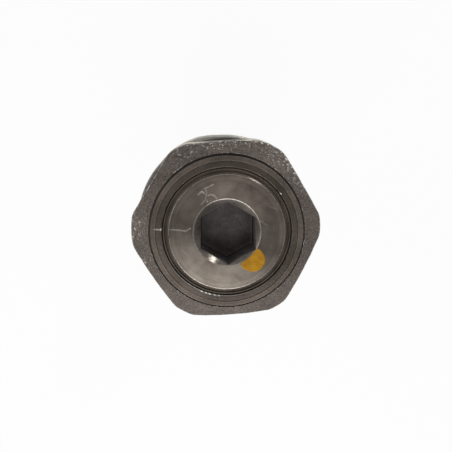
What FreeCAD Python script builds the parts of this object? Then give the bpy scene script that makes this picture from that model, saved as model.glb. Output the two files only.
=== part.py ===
import FreeCAD, Part

import math
import os
import re

import Sketcher

# Overflow valve: a screw-in relief cartridge with a hexagon head and a damping piston.
# The origin is on the valve's axis, at the underside of the collar that seats on the manifold.
# +Z runs out of the manifold, through the head. Below the collar everything has negative Z.
# Oil enters at the nose, lifts the poppet off its seat and leaves by the ports in the skirt.
# The poppet's hollow stem slides in a damping piston, which the adjusting plug carries.
# Threads are plain cylinders at their outer diameters. All sizes are in millimetres and degrees.

# A radius that starts a chain is named here, and the walls and steps around it after that,
# so a piece that grows moves what surrounds it. Heights above the collar's underside are positive.
SIZES = {
    # Poppet and orifice screw
    "poppet_bleed_radius": 1.5,
    "stem_wall": 2.5,
    "spigot_step": 1.0,
    "poppet_spigot_rise": 0.6,
    "poppet_flange_reach": 2.5,
    "poppet_flange_length": 3.445,
    "poppet_edge": 0.4,
    "poppet_cone_slope": 50.0,
    "poppet_seat_gap": 0.06,
    "poppet_nose_wall": 1.5,
    "poppet_nose_length": 5.3,
    "stem_into_piston": 12.0,
    "screw_step": 1.0,
    "screw_length": 4.5,
    "screw_inset": 0.5,
    "screw_slot_width": 0.9,
    "screw_slot_depth": 1.2,
    "screw_orifice_radius": 0.5,
    # Liner and damping piston
    "liner_wall": 1.2,
    "liner_floor": 4.9,
    "liner_chamfer": 0.5,
    "liner_groove_reach": 1.8,
    "liner_groove_from_top": 5.0,
    "liner_groove_room": 0.3,
    "liner_cord_half_width": 1.05,
    "piston_shoulder": 1.75,
    "piston_top_gap": 0.6,
    "piston_head_length": 5.9,
    "piston_edge": 0.3,
    "piston_stroke": 2.5,
    "piston_stem_wall": 1.2,
    "piston_ring_depth": 1.2,
    "piston_ring_width": 1.6,
    "piston_ring_from_top": 2.0,
    "piston_roof": 1.5,
    "piston_orifice_radius": 0.6,
    # Spring, its seats and shims
    "seat_disc_reach": 1.3,
    "seat_disc_width": 2.5,
    "seat_disc_edge": 0.3,
    "hub_wall": 1.05,
    "hub_past_disc": 4.0,
    "hub_edge": 0.8,
    "shim_thick_width": 1.0,
    "shim_thin_width": 0.5,
    "shim_setback": 0.2,
    "shim_bore_gap": 0.1,
    "spring_hub_gap": 0.3,
    "spring_wire_radius": 1.6,
    "spring_mean_pitch": 4.3333,
    "spring_room": 1.7,
    # Adjusting plug
    "plug_wall": 2.2,
    "plug_face_setback": 1.7,
    "plug_face_chamfer": 1.7,
    "plug_thread_run_out": 0.5,
    "plug_tip_chamfer": 0.8,
    "plug_relief_step": 0.5,
    "plug_relief_width": 2.0,
    "plug_land_chamfer": 0.5,
    "plug_past_liner": 2.5,
    "plug_end_chamfer": 1.0,
    "plug_floor_gap": 1.0,
    "countersink_reach": 1.6,
    "countersink_slope": 45.0,
    "socket_across_flats": 14.0,
    "socket_off_x": 0.3,
    "socket_off_y": -0.35,
    "socket_off_reach": 0.5,
    "socket_depth": 9.0,
    "socket_fillet": 0.4,
    "socket_floor": 3.5,
    "plug_groove_reach": 2.3,
    "plug_groove_rise": 7.5,
    "plug_groove_room": 0.2,
    "plug_backup_width": 1.4,
    "plug_backup_turned": 40.0,
    "plug_cord_half_width": 1.45,
    # Hexagon head and collar of the body
    "head_height": 20.0,
    "boss_step": 0.8,
    "boss_rim": 1.7,
    "boss_edge": 0.2,
    "boss_groove_width": 0.45,
    "boss_groove_depth": 0.35,
    "face_slope": 36.0,
    "hex_across_flats": 46.0,
    "hex_corner_reach": 1.9,
    "hex_clocking": 3.0,
    "hex_back_reach": 0.4,
    "hex_back_slope": 30.0,
    "seat_land": 3.1,
    "collar_thickness": 4.0,
    "collar_edge": 0.5,
    # Neck, thread and skirt of the body
    "recess_rise": 0.4,
    "collar_cord_radius": 1.3,
    "collar_cord_room": 0.5,
    "thread_under_cord": 0.8,
    "thread_wall": 5.0,
    "thread_neck_step": 1.8,
    "thread_length": 16.0,
    "thread_top_chamfer": 0.8,
    "thread_tip_chamfer": 1.2,
    "relief_step": 0.8,
    "relief_width": 2.6,
    "skirt_wall": 4.2,
    "skirt_past_groove": 1.7,
    "skirt_chamfer": 1.0,
    "port_radius": 4.0,
    "port_to_shoulder": 1.5,
    "port_count": 4,
    # Bores of the body
    "lead_mouth_reach": 1.55,
    "lead_cone_drop": 0.5,
    "thread_shoulder": 2.0,
    "plug_bore_chamfer": 0.15,
    "thread_floor": 6.5,
    "seal_lead_drop": 1.4,
    "seal_lead_slope": 25.0,
    "seat_bore_shoulder": 1.5,
    "mouth_chamfer": 0.5,
    # Clearances
    "thread_gap": 0.1,
    "slide_gap": 0.05,
    "fixed_gap": 0.02,
    "seal_gap": 0.04,
    "stop_gap": 0.1,
    "ring_side_gap": 0.05,
    # Seat sleeve, its snap ring and the nose's seals
    "inlet_reach": 1.5,
    "lip_rise": 1.0,
    "lip_width": 1.5,
    "lip_foot_reach": 2.0,
    "seat_shoulder_depth": 46.0,
    "seat_flange_width": 6.5,
    "snap_wire_radius": 0.8,
    "snap_groove_extra": 0.1,
    "snap_groove_reach": 1.25,
    "snap_opening_angle": 30.0,
    "nose_step": 1.0,
    "nose_land": 5.5,
    "nose_tip": 7.9,
    "nose_end_drop": 1.5,
    "nose_end_slope": 60.0,
    "inlet_mouth_chamfer": 1.2,
    "nose_groove_reach": 2.4,
    "nose_backup_width": 1.35,
    "nose_backup_cut": 0.3,
    "nose_upper_turned": 25.0,
    "nose_lower_turned": 160.0,
    "nose_cord_half_width": 1.65,
}

# Sizes that follow from the others, worked out by the sheet
LEVELS = {
    # Radii, from the axis out through the poppet, the piston and the plug to the hexagon
    "stem_radius": "poppet_bleed_radius + stem_wall",
    "screw_radius": "poppet_bleed_radius + screw_step",
    "poppet_nose_radius": "screw_radius + poppet_nose_wall",
    "poppet_spigot_radius": "stem_radius + spigot_step",
    "poppet_flange_radius": "poppet_spigot_radius + poppet_flange_reach",
    "piston_stem_radius": "stem_radius + slide_gap + piston_stem_wall",
    "piston_radius": "piston_stem_radius + piston_shoulder",
    "liner_groove_radius": "piston_radius + liner_wall",
    "liner_bore_radius": "liner_groove_radius + liner_groove_reach",
    "plug_groove_radius": "liner_bore_radius + plug_wall",
    "seal_bore_radius": "plug_groove_radius + plug_groove_reach",
    "plug_land_radius": "seal_bore_radius - slide_gap",
    "plug_relief_radius": "seal_bore_radius - plug_relief_step",
    "plug_bore_radius": "seal_bore_radius + thread_shoulder",
    "plug_face_radius": "plug_bore_radius - plug_face_setback",
    "countersink_radius": "socket_across_flats / 2 + countersink_reach",
    "lead_mouth_radius": "plug_bore_radius + lead_mouth_reach",
    "boss_radius": "lead_mouth_radius + boss_rim",
    "hex_corner_radius": "hex_across_flats / 2 + hex_corner_reach",
    "hex_back_radius": "hex_across_flats / 2 + hex_back_reach",
    "thread_radius": "seal_bore_radius + thread_wall",
    "neck_radius": "thread_radius - thread_neck_step",
    "recess_radius": "neck_radius + 2 * collar_cord_radius + collar_cord_room",
    "collar_radius": "recess_radius + seat_land + collar_edge",
    # Radii, from the piston's stem out through the spring to the skirt and the nose
    "hub_radius": "piston_stem_radius + hub_wall",
    "spring_mean_radius": "hub_radius + spring_hub_gap + spring_wire_radius",
    "seat_disc_radius": "spring_mean_radius + seat_disc_reach",
    "shim_radius": "seat_disc_radius - shim_setback",
    "chamber_radius": "spring_mean_radius + spring_wire_radius + spring_room",
    "seat_bore_radius": "chamber_radius + seat_bore_shoulder",
    "snap_groove_radius": "seat_bore_radius + snap_groove_reach",
    "skirt_radius": "seat_bore_radius + skirt_wall",
    "relief_radius": "skirt_radius - relief_step",
    "nose_radius": "seat_bore_radius - nose_step",
    "nose_groove_radius": "nose_radius - nose_groove_reach",
    "inlet_radius": "poppet_nose_radius + inlet_reach",
    "lip_radius": "inlet_radius + lip_width",
    "lip_foot_radius": "lip_radius + lip_foot_reach",
    # Heights of the head, the plug and the damping parts, from the top down
    "hex_face": "head_height - boss_step",
    "socket_bottom": "head_height - socket_depth",
    "cavity_roof": "socket_bottom - socket_floor",
    "piston_top": "cavity_roof - piston_top_gap",
    "piston_step": "piston_top - piston_head_length",
    "liner_step": "piston_step - piston_stroke - stop_gap",
    "liner_end": "liner_step - liner_floor",
    "liner_groove_width": "2 * liner_cord_half_width + liner_groove_room",
    "plug_thread_end": "thread_floor + plug_thread_run_out",
    "plug_land_top": "plug_thread_end - plug_relief_width",
    "plug_end": "liner_end - plug_past_liner",
    "plug_groove_top": "plug_end + plug_groove_rise",
    "plug_groove_width": "plug_backup_width + 2 * plug_cord_half_width + plug_groove_room",
    "upper_disc_top": "liner_end - stop_gap",
    "upper_disc_end": "upper_disc_top - seat_disc_width",
    "upper_hub_end": "upper_disc_end - hub_past_disc",
    "spring_top": "upper_disc_end - shim_thick_width - shim_thin_width",
    "stem_top": "upper_hub_end + stem_into_piston",
    # Depths of the thread, the seat and the nose
    "thread_top_depth": "2 * collar_cord_radius - recess_rise + thread_under_cord",
    "thread_end": "-(thread_top_depth + thread_length)",
    "seat_shoulder": "-seat_shoulder_depth",
    "seat_lip": "seat_shoulder + lip_rise",
    "port_height": "seat_shoulder + port_radius + port_to_shoulder",
    "flange_end": "seat_shoulder - seat_flange_width",
    "snap_groove_width": "2 * (snap_wire_radius + snap_groove_extra)",
    "skirt_end": "flange_end - snap_groove_width - skirt_past_groove",
    "nose_groove_top": "flange_end - nose_land",
    "nose_cord_space": "2 * (nose_cord_half_width + ring_side_gap)",
    "nose_groove_width": "2 * nose_backup_width + nose_cord_space",
    "lower_backup_top": "nose_groove_top - nose_backup_width - nose_cord_space",
    "nose_end": "nose_groove_top - nose_groove_width - nose_tip",
    # Heights of the poppet and the spring, from the seat up
    "cone_at_seat": "inlet_radius - poppet_seat_gap",
    "cone_top": "seat_lip + (poppet_flange_radius - cone_at_seat) * tan(poppet_cone_slope)",
    "cone_end": "seat_lip - (cone_at_seat - poppet_nose_radius) * tan(poppet_cone_slope)",
    "poppet_end": "cone_end - poppet_nose_length",
    "screw_end": "poppet_end + screw_inset",
    "screw_top": "screw_end + screw_length",
    "poppet_shoulder": "cone_top + poppet_flange_length",
    "spring_end": "poppet_shoulder + seat_disc_width",
    "lower_hub_top": "spring_end + hub_past_disc - shim_thick_width - shim_thin_width",
}

doc = FreeCAD.newDocument("overflow_valve")
sheet = doc.addObject("Spreadsheet::Sheet", "Sizes")
for row, (alias, content) in enumerate([*SIZES.items(), *LEVELS.items()], start=1):
    sheet.set(f"A{row}", alias)
    sheet.setAlias(f"B{row}", alias)
    sheet.set(f"B{row}", f"={content}" if alias in LEVELS else str(content))
doc.recompute()


def bound(text):
    """Turn a sum of plain size names into an expression on the sheet's cells."""

    def spell(match):
        word = match.group(0)
        return f"Sizes.{word}" if word in SIZES or word in LEVELS else word

    return re.sub(r"[a-z_]+", spell, text)


def number_of(text):
    """The present value of such a sum."""
    return float(sheet.evalExpression(bound(text)))


def start_body(label):
    body = doc.addObject("PartDesign::Body", label)
    body.Label = label
    return body


def start_sketch(body, name, plane, height="0"):
    """A sketch on one of the body's own planes, moved along the plane's normal to a height."""
    sketch = body.newObject("Sketcher::SketchObject", f"{body.Name}_{name}")
    support = [feature for feature in body.Origin.OriginFeatures if feature.Role == plane][0]
    sketch.AttachmentSupport = [(support, "")]
    sketch.MapMode = "FlatFace"
    sketch.setExpression("AttachmentOffset.Base.z", bound(height))
    return sketch


def bind(sketch, kind, *place):
    """Add a dimension whose last argument is a sum of size names."""
    text = place[-1]
    unit = " * 1 deg" if kind == "Angle" else ""
    start = number_of(text)
    start = math.radians(start) if kind == "Angle" else start
    index = sketch.addConstraint(Sketcher.Constraint(kind, *place[:-1], start))
    sketch.setExpression(f"Constraints[{index}]", f"({bound(text)}){unit}")


def draw_outline(sketch, corners):
    """A closed outline of straight lines, each corner placed by two dimensions."""
    spots = [FreeCAD.Vector(number_of(x), number_of(y), 0) for x, y in corners]
    first = sketch.GeometryCount
    count = len(spots)
    for index in range(count):
        sketch.addGeometry(Part.LineSegment(spots[index], spots[(index + 1) % count]))
    for index, (x, y) in enumerate(corners):
        line = first + index
        after = first + (index + 1) % count
        sketch.addConstraint(Sketcher.Constraint("Coincident", line, 2, after, 1))
        bind(sketch, "DistanceX", -1, 1, line, 1, x)
        bind(sketch, "DistanceY", -1, 1, line, 1, y)


def draw_circle(sketch, radius, x="0", y="0"):
    centre = FreeCAD.Vector(number_of(x), number_of(y), 0)
    index = sketch.addGeometry(Part.Circle(centre, FreeCAD.Vector(0, 0, 1), number_of(radius)))
    bind(sketch, "Radius", index, radius)
    bind(sketch, "DistanceX", -1, 1, index, 3, x)
    bind(sketch, "DistanceY", -1, 1, index, 3, y)


def draw_hexagon(sketch, across_flats, first_corner, x="0", y="0"):
    """A regular hexagon, held by a construction circle through its corners."""
    corner_radius = f"{across_flats} / 2 / cos(30)"
    radius = number_of(corner_radius)
    start = math.radians(number_of(first_corner))
    centre = FreeCAD.Vector(number_of(x), number_of(y), 0)
    spots = []
    for index in range(6):
        angle = start + index * math.pi / 3
        corner = FreeCAD.Vector(radius * math.cos(angle), radius * math.sin(angle), 0)
        spots.append(centre + corner)
    first = sketch.GeometryCount
    for index in range(6):
        sketch.addGeometry(Part.LineSegment(spots[index], spots[(index + 1) % 6]))
    ring = sketch.addGeometry(Part.Circle(centre, FreeCAD.Vector(0, 0, 1), radius), True)
    bind(sketch, "DistanceX", -1, 1, ring, 3, x)
    bind(sketch, "DistanceY", -1, 1, ring, 3, y)
    bind(sketch, "Radius", ring, corner_radius)
    for index in range(6):
        after = first + (index + 1) % 6
        sketch.addConstraint(Sketcher.Constraint("Coincident", first + index, 2, after, 1))
        sketch.addConstraint(Sketcher.Constraint("PointOnObject", first + index, 1, ring))
        if index:
            sketch.addConstraint(Sketcher.Constraint("Equal", first, first + index))
    bind(sketch, "Angle", first, f"{first_corner} + 120")


def turn(body, corners, name="turned"):
    """Turn an outline of radius and height pairs about the valve's axis."""
    sketch = start_sketch(body, f"{name}_outline", "XZ_Plane")
    draw_outline(sketch, corners)
    turned = body.newObject("PartDesign::Revolution", f"{body.Name}_{name}")
    turned.Profile = sketch
    turned.ReferenceAxis = (sketch, ["V_Axis"])
    turned.Angle = 360
    doc.recompute()
    return turned


def cut(body, sketch, name, length, outward=False):
    """Pocket a sketch to a length, and make sure that it took material away."""
    before = body.Shape.Volume
    pocket = body.newObject("PartDesign::Pocket", f"{body.Name}_{name}")
    pocket.Profile = sketch
    pocket.Reversed = outward
    pocket.setExpression("Length", bound(length))
    doc.recompute()
    if not pocket.Shape.Volume < before:
        raise RuntimeError(f"{pocket.Name} cuts nothing")
    return pocket


def turned_piece(label, corners):
    body = start_body(label)
    turn(body, corners)
    return body


def make_valve_body():
    """Forged hexagon, turned boss, collar, thread and skirt, bored through from both ends."""
    face_drop = "(hex_corner_radius - boss_radius) * tan(face_slope)"
    groove_lip = "hex_face - boss_groove_width * tan(face_slope)"
    back_rise = "(hex_corner_radius - hex_back_radius) * tan(hex_back_slope)"
    mouth_end = "head_height - lead_cone_drop"
    seal_lead = "seal_bore_radius + seal_lead_drop * tan(seal_lead_slope)"
    body = start_body("valve_body")
    turn(body, [
        ("lead_mouth_radius", "head_height"),
        ("boss_radius - boss_edge", "head_height"),
        ("boss_radius", "head_height - boss_edge"),
        ("boss_radius", f"{groove_lip} - boss_groove_depth"),
        ("boss_radius + boss_groove_width", f"{groove_lip} - boss_groove_depth"),
        ("boss_radius + boss_groove_width", groove_lip),
        ("hex_corner_radius", f"hex_face - {face_drop}"),
        ("hex_corner_radius", f"collar_thickness + {back_rise}"),
        ("hex_back_radius", "collar_thickness"),
        ("collar_radius - collar_edge", "collar_thickness"),
        ("collar_radius", "collar_thickness - collar_edge"),
        ("collar_radius", "collar_edge"),
        ("collar_radius - collar_edge", "0"),
        ("recess_radius", "0"),
        ("recess_radius", "recess_rise"),
        ("neck_radius", "recess_rise"),
        ("neck_radius", "-thread_top_depth"),
        ("thread_radius - thread_top_chamfer", "-thread_top_depth"),
        ("thread_radius", "-thread_top_depth - thread_top_chamfer"),
        ("thread_radius", "thread_end + thread_tip_chamfer"),
        ("thread_radius - thread_tip_chamfer", "thread_end"),
        ("relief_radius", "thread_end"),
        ("relief_radius", "thread_end - relief_width + relief_step"),
        ("skirt_radius", "thread_end - relief_width"),
        ("skirt_radius", "skirt_end + skirt_chamfer"),
        ("skirt_radius - skirt_chamfer", "skirt_end"),
        ("seat_bore_radius + mouth_chamfer", "skirt_end"),
        ("seat_bore_radius", "skirt_end + mouth_chamfer"),
        ("seat_bore_radius", "flange_end - snap_groove_width"),
        ("snap_groove_radius", "flange_end - snap_groove_width"),
        ("snap_groove_radius", "flange_end"),
        ("seat_bore_radius", "flange_end"),
        ("seat_bore_radius", "seat_shoulder"),
        ("chamber_radius", "seat_shoulder"),
        ("chamber_radius", "plug_end - plug_floor_gap"),
        ("seal_bore_radius", "plug_end - plug_floor_gap"),
        ("seal_bore_radius", "thread_floor - seal_lead_drop"),
        (seal_lead, "thread_floor"),
        ("plug_bore_radius", "thread_floor"),
        ("plug_bore_radius", f"{mouth_end} - plug_bore_chamfer"),
        ("plug_bore_radius + plug_bore_chamfer", mouth_end),
    ])
    flats = start_sketch(body, "flats_outline", "XY_Plane", "collar_thickness")
    draw_circle(flats, "hex_across_flats")
    draw_hexagon(flats, "hex_across_flats", "hex_clocking")
    cut(body, flats, "flats", "head_height", outward=True)
    port = start_sketch(body, "port_outline", "YZ_Plane")
    draw_circle(port, "port_radius", "0", "port_height")
    bored = cut(body, port, "port", "skirt_radius + skirt_chamfer")
    ports = body.newObject("PartDesign::PolarPattern", "valve_body_ports")
    ports.Originals = [bored]
    upright = [feature for feature in body.Origin.OriginFeatures if feature.Role == "Z_Axis"][0]
    ports.Axis = (upright, [""])
    ports.Angle = 360
    ports.setExpression("Occurrences", bound("port_count"))
    body.Tip = ports
    return body


def make_adjusting_plug():
    """Turned screw, flush with the boss, with a hexagon socket and a cavity for the liner."""
    key_radius = "socket_across_flats / 2 - socket_off_reach"
    sink = f"head_height - (countersink_radius - {key_radius}) * tan(countersink_slope)"
    thread_radius = "plug_bore_radius - thread_gap"
    body = start_body("adjusting_plug")
    turn(body, [
        ("0", sink),
        (key_radius, sink),
        ("countersink_radius", "head_height"),
        ("plug_face_radius", "head_height"),
        (thread_radius, "head_height - plug_face_chamfer"),
        (thread_radius, "plug_thread_end + plug_tip_chamfer"),
        (f"{thread_radius} - plug_tip_chamfer", "plug_thread_end"),
        ("plug_relief_radius", "plug_thread_end"),
        ("plug_relief_radius", "plug_land_top"),
        ("plug_land_radius", "plug_land_top - plug_land_chamfer"),
        ("plug_land_radius", "plug_groove_top"),
        ("plug_groove_radius", "plug_groove_top"),
        ("plug_groove_radius", "plug_groove_top - plug_groove_width"),
        ("plug_land_radius", "plug_groove_top - plug_groove_width"),
        ("plug_land_radius", "plug_end + plug_end_chamfer"),
        ("plug_land_radius - plug_end_chamfer", "plug_end"),
        ("liner_bore_radius", "plug_end"),
        ("liner_bore_radius", "cavity_roof"),
        ("0", "cavity_roof"),
    ])
    outline = start_sketch(body, "socket_outline", "XY_Plane", "head_height")
    draw_hexagon(outline, "socket_across_flats", "30", "socket_off_x", "socket_off_y")
    socket = cut(body, outline, "socket", "socket_depth")
    level = number_of("socket_bottom")
    floor_edges = []
    for index, edge in enumerate(socket.Shape.Edges, start=1):
        box = edge.BoundBox
        if abs(box.ZMin - level) < 1e-6 and abs(box.ZMax - level) < 1e-6:
            floor_edges.append(f"Edge{index}")
    rounded = body.newObject("PartDesign::Fillet", "adjusting_plug_socket_floor")
    rounded.Base = (socket, floor_edges)
    rounded.setExpression("Radius", bound("socket_fillet"))
    return body


def squeezed_ring(label, inner, outer, half_width, height):
    """An O-ring pressed to an oval between its groove and its bore."""
    oval = doc.addObject("Part::Ellipse", f"{label}_section")
    radial = f"(({outer}) - ({inner})) / 2"
    oval.setExpression("MajorRadius", bound(half_width))
    oval.setExpression("MinorRadius", bound(radial))
    oval.Placement.Rotation = FreeCAD.Rotation(
        FreeCAD.Vector(0, 0, 1), FreeCAD.Vector(1, 0, 0), FreeCAD.Vector(0, 1, 0), "XYZ")
    oval.setExpression("Placement.Base.x", bound(f"(({outer}) + ({inner})) / 2"))
    oval.setExpression("Placement.Base.z", bound(height))
    ring = doc.addObject("Part::Revolution", label)
    ring.Label = label
    ring.Source = oval
    ring.Axis = FreeCAD.Vector(0, 0, 1)
    ring.Base = FreeCAD.Vector(0, 0, 0)
    ring.Angle = 360
    ring.Solid = True
    return ring


def round_ring(label, mean_radius, cord_radius, height, opening="0"):
    """A ring of round cord or wire, with an opening for one that springs into its groove."""
    ring = doc.addObject("Part::Torus", label)
    ring.Label = label
    ring.setExpression("Radius1", bound(mean_radius))
    ring.setExpression("Radius2", bound(cord_radius))
    ring.setExpression("Angle3", f"(360 - {bound(opening)}) * 1 deg")
    ring.setExpression("Placement.Base.z", bound(height))
    return ring


def backup_ring(label, inner, outer, top, width, turned_by):
    """A square-section ring of hard plastic, cut through aslant so that it can be fitted."""
    whole = turned_piece(f"{label}_uncut", [
        (inner, top), (outer, top), (outer, f"{top} - {width}"), (inner, f"{top} - {width}")])
    knife = doc.addObject("Part::Box", f"{label}_knife")
    knife.setExpression("Length", bound(f"{outer} + {width}"))
    knife.setExpression("Width", bound("nose_backup_cut"))
    knife.setExpression("Height", bound(f"4 * {width}"))
    aslant = FreeCAD.Rotation(FreeCAD.Vector(1, 0, 0), 30)
    round_axis = FreeCAD.Rotation(FreeCAD.Vector(0, 0, 1), number_of(turned_by))
    knife.Placement.Rotation = round_axis.multiply(aslant)
    knife.setExpression("Placement.Base.z", bound(f"{top} - 2.2 * {width}"))
    ring = doc.addObject("Part::Cut", label)
    ring.Label = label
    ring.Base = whole
    ring.Tool = knife
    return ring


def make_plug_seals():
    outer = "seal_bore_radius - seal_gap"
    inner = "plug_groove_radius + seal_gap"
    centre = "plug_groove_top - plug_groove_width + plug_cord_half_width + ring_side_gap"
    backup_ring("plug_backup_ring", inner, outer, "plug_groove_top", "plug_backup_width",
                "plug_backup_turned")
    squeezed_ring("plug_o_ring", inner, outer, "plug_cord_half_width", centre)


def make_collar_o_ring():
    round_ring("collar_o_ring", "neck_radius + collar_cord_radius", "collar_cord_radius",
               "recess_rise - collar_cord_radius")


def make_piston_liner():
    """Bush in the plug: a wide bore for the piston's head and a narrow one for its stem."""
    outside = "liner_bore_radius - fixed_gap"
    groove_top = "cavity_roof - liner_groove_from_top"
    centre = f"{groove_top} - liner_groove_width / 2"
    turned_piece("piston_liner", [
        ("piston_radius", "cavity_roof"),
        (f"{outside} - liner_chamfer", "cavity_roof"),
        (outside, "cavity_roof - liner_chamfer"),
        (outside, groove_top),
        ("liner_groove_radius", groove_top),
        ("liner_groove_radius", f"{groove_top} - liner_groove_width"),
        (outside, f"{groove_top} - liner_groove_width"),
        (outside, "liner_end + liner_chamfer"),
        (f"{outside} - liner_chamfer", "liner_end"),
        ("piston_stem_radius + slide_gap", "liner_end"),
        ("piston_stem_radius + slide_gap", "liner_step"),
        ("piston_radius", "liner_step"),
    ])
    squeezed_ring("liner_o_ring", "liner_groove_radius + seal_gap",
                  "liner_bore_radius - seal_gap", "liner_cord_half_width", centre)


def make_damping_piston():
    """Stepped piston, bored from below for the poppet's stem, with a bleed through its top."""
    head_radius = "piston_radius - slide_gap"
    ring_top = "piston_top - piston_ring_from_top"
    ring_floor = "piston_radius - piston_ring_depth"
    ring_end = f"{ring_top} - piston_ring_width"
    bore_radius = "stem_radius + slide_gap"
    turned_piece("damping_piston", [
        ("piston_orifice_radius", "piston_top"),
        (f"{head_radius} - piston_edge", "piston_top"),
        (head_radius, "piston_top - piston_edge"),
        (head_radius, ring_top),
        (ring_floor, ring_top),
        (ring_floor, ring_end),
        (head_radius, ring_end),
        (head_radius, "piston_step + piston_edge"),
        (f"{head_radius} - piston_edge", "piston_step"),
        ("piston_stem_radius", "piston_step"),
        ("piston_stem_radius", "upper_hub_end + piston_edge"),
        ("piston_stem_radius - piston_edge", "upper_hub_end"),
        (f"{bore_radius} + piston_edge", "upper_hub_end"),
        (bore_radius, "upper_hub_end + piston_edge"),
        (bore_radius, "piston_top - piston_roof"),
        ("piston_orifice_radius", "piston_top - piston_roof"),
    ])
    outer = "piston_radius - seal_gap"
    inner = f"{ring_floor} + seal_gap"
    turned_piece("piston_seal_ring", [
        (inner, f"{ring_top} - ring_side_gap"),
        (outer, f"{ring_top} - ring_side_gap"),
        (outer, f"{ring_end} + ring_side_gap"),
        (inner, f"{ring_end} + ring_side_gap"),
    ])


def make_spring_seats_and_shims():
    """Two flanged discs with hubs that centre the spring, and the shims under the upper one."""
    upper_bore = "piston_stem_radius + fixed_gap"
    turned_piece("spring_seat_upper", [
        (upper_bore, "upper_disc_top"),
        ("seat_disc_radius - seat_disc_edge", "upper_disc_top"),
        ("seat_disc_radius", "upper_disc_top - seat_disc_edge"),
        ("seat_disc_radius", "upper_disc_end"),
        ("hub_radius", "upper_disc_end"),
        ("hub_radius", "upper_hub_end + hub_edge"),
        ("hub_radius - hub_edge", "upper_hub_end"),
        (upper_bore, "upper_hub_end"),
    ])
    lower_bore = "poppet_spigot_radius + fixed_gap"
    turned_piece("spring_seat_lower", [
        (lower_bore, "lower_hub_top"),
        ("hub_radius - hub_edge", "lower_hub_top"),
        ("hub_radius", "lower_hub_top - hub_edge"),
        ("hub_radius", "spring_end"),
        ("seat_disc_radius", "spring_end"),
        ("seat_disc_radius", "poppet_shoulder + seat_disc_edge"),
        ("seat_disc_radius - seat_disc_edge", "poppet_shoulder"),
        (lower_bore, "poppet_shoulder"),
    ])
    tops = [("shim_thick", "upper_disc_end"), ("shim_thin", "upper_disc_end - shim_thick_width")]
    for label, top in tops:
        body = start_body(label)
        ring = start_sketch(body, "outline", "XY_Plane", f"{top} - {label}_width")
        draw_circle(ring, "shim_radius")
        draw_circle(ring, "hub_radius + shim_bore_gap")
        pad = body.newObject("PartDesign::Pad", f"{label}_pad")
        pad.Profile = ring
        pad.setExpression("Length", bound(f"{label}_width"))


def make_relief_spring():
    """Compression spring with one closed turn at each end, both ends ground flat."""
    mean_radius = number_of("spring_mean_radius")
    wire_radius = number_of("spring_wire_radius")
    bottom = number_of("spring_end")
    top = number_of("spring_top")
    run = top - bottom
    closed_pitch = 2 * wire_radius * 1.02
    steps_per_turn = 12
    count = int(round(run / number_of("spring_mean_pitch") * steps_per_turn))
    turns = count / steps_per_turn
    # The pitch grows smoothly from the closed turn to the open ones and back
    shares = []
    for step in range(count):
        turn_number = (step + 0.5) / steps_per_turn
        from_end = min(turn_number, turns - turn_number)
        openness = min(max((from_end - 0.9) / 0.6, 0.0), 1.0)
        shares.append(openness * openness * (3 - 2 * openness))
    closed_rise = closed_pitch / steps_per_turn
    open_rise = (run - closed_rise * count) / sum(shares)
    heights = [bottom]
    for share in shares:
        heights.append(heights[-1] + closed_rise + share * open_rise)
    spots = []
    for step, height in enumerate(heights):
        angle = 2 * math.pi * step / steps_per_turn
        spots.append(FreeCAD.Vector(
            mean_radius * math.cos(angle), mean_radius * math.sin(angle), height))
    path = Part.BSplineCurve()
    path.interpolate(spots)
    spine = Part.Wire([path.toShape()])
    start = path.value(path.FirstParameter)
    along = path.tangent(path.FirstParameter)[0]
    section = Part.Wire([Part.makeCircle(wire_radius, start, along)])
    coil = spine.makePipeShell([section], True, True)
    room = Part.makeCylinder(mean_radius + 2 * wire_radius, run, FreeCAD.Vector(0, 0, bottom))
    ground = coil.common(room)
    spring = doc.addObject("Part::Feature", "relief_spring")
    spring.Label = "relief_spring"
    spring.Shape = ground.Solids[0] if ground.Solids else ground
    spring.Placement = FreeCAD.Placement()


def make_poppet():
    """Cone on a hollow stem. The stem slides in the damping piston, the nose reaches the inlet."""
    turned_piece("poppet", [
        ("poppet_bleed_radius", "stem_top"),
        ("stem_radius - poppet_edge", "stem_top"),
        ("stem_radius", "stem_top - poppet_edge"),
        ("stem_radius", "lower_hub_top + poppet_spigot_rise"),
        ("poppet_spigot_radius", "lower_hub_top - poppet_spigot_rise"),
        ("poppet_spigot_radius", "poppet_shoulder"),
        ("poppet_flange_radius - poppet_edge", "poppet_shoulder"),
        ("poppet_flange_radius", "poppet_shoulder - poppet_edge"),
        ("poppet_flange_radius", "cone_top"),
        ("poppet_nose_radius", "cone_end"),
        ("poppet_nose_radius", "poppet_end + poppet_edge"),
        ("poppet_nose_radius - poppet_edge", "poppet_end"),
        ("screw_radius", "poppet_end"),
        ("screw_radius", "screw_top"),
        ("poppet_bleed_radius", "screw_top"),
    ])
    body = start_body("orifice_screw")
    outside = "screw_radius - fixed_gap"
    turn(body, [
        ("screw_orifice_radius", "screw_top"),
        (f"{outside} - poppet_edge", "screw_top"),
        (outside, "screw_top - poppet_edge"),
        (outside, "screw_end"),
        ("screw_orifice_radius", "screw_end"),
    ])
    slot = start_sketch(body, "slot_outline", "XY_Plane", "screw_end")
    draw_outline(slot, [
        ("-screw_radius", "-screw_slot_width / 2"),
        ("screw_radius", "-screw_slot_width / 2"),
        ("screw_radius", "screw_slot_width / 2"),
        ("-screw_radius", "screw_slot_width / 2"),
    ])
    cut(body, slot, "slot", "screw_slot_depth", outward=True)


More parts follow.
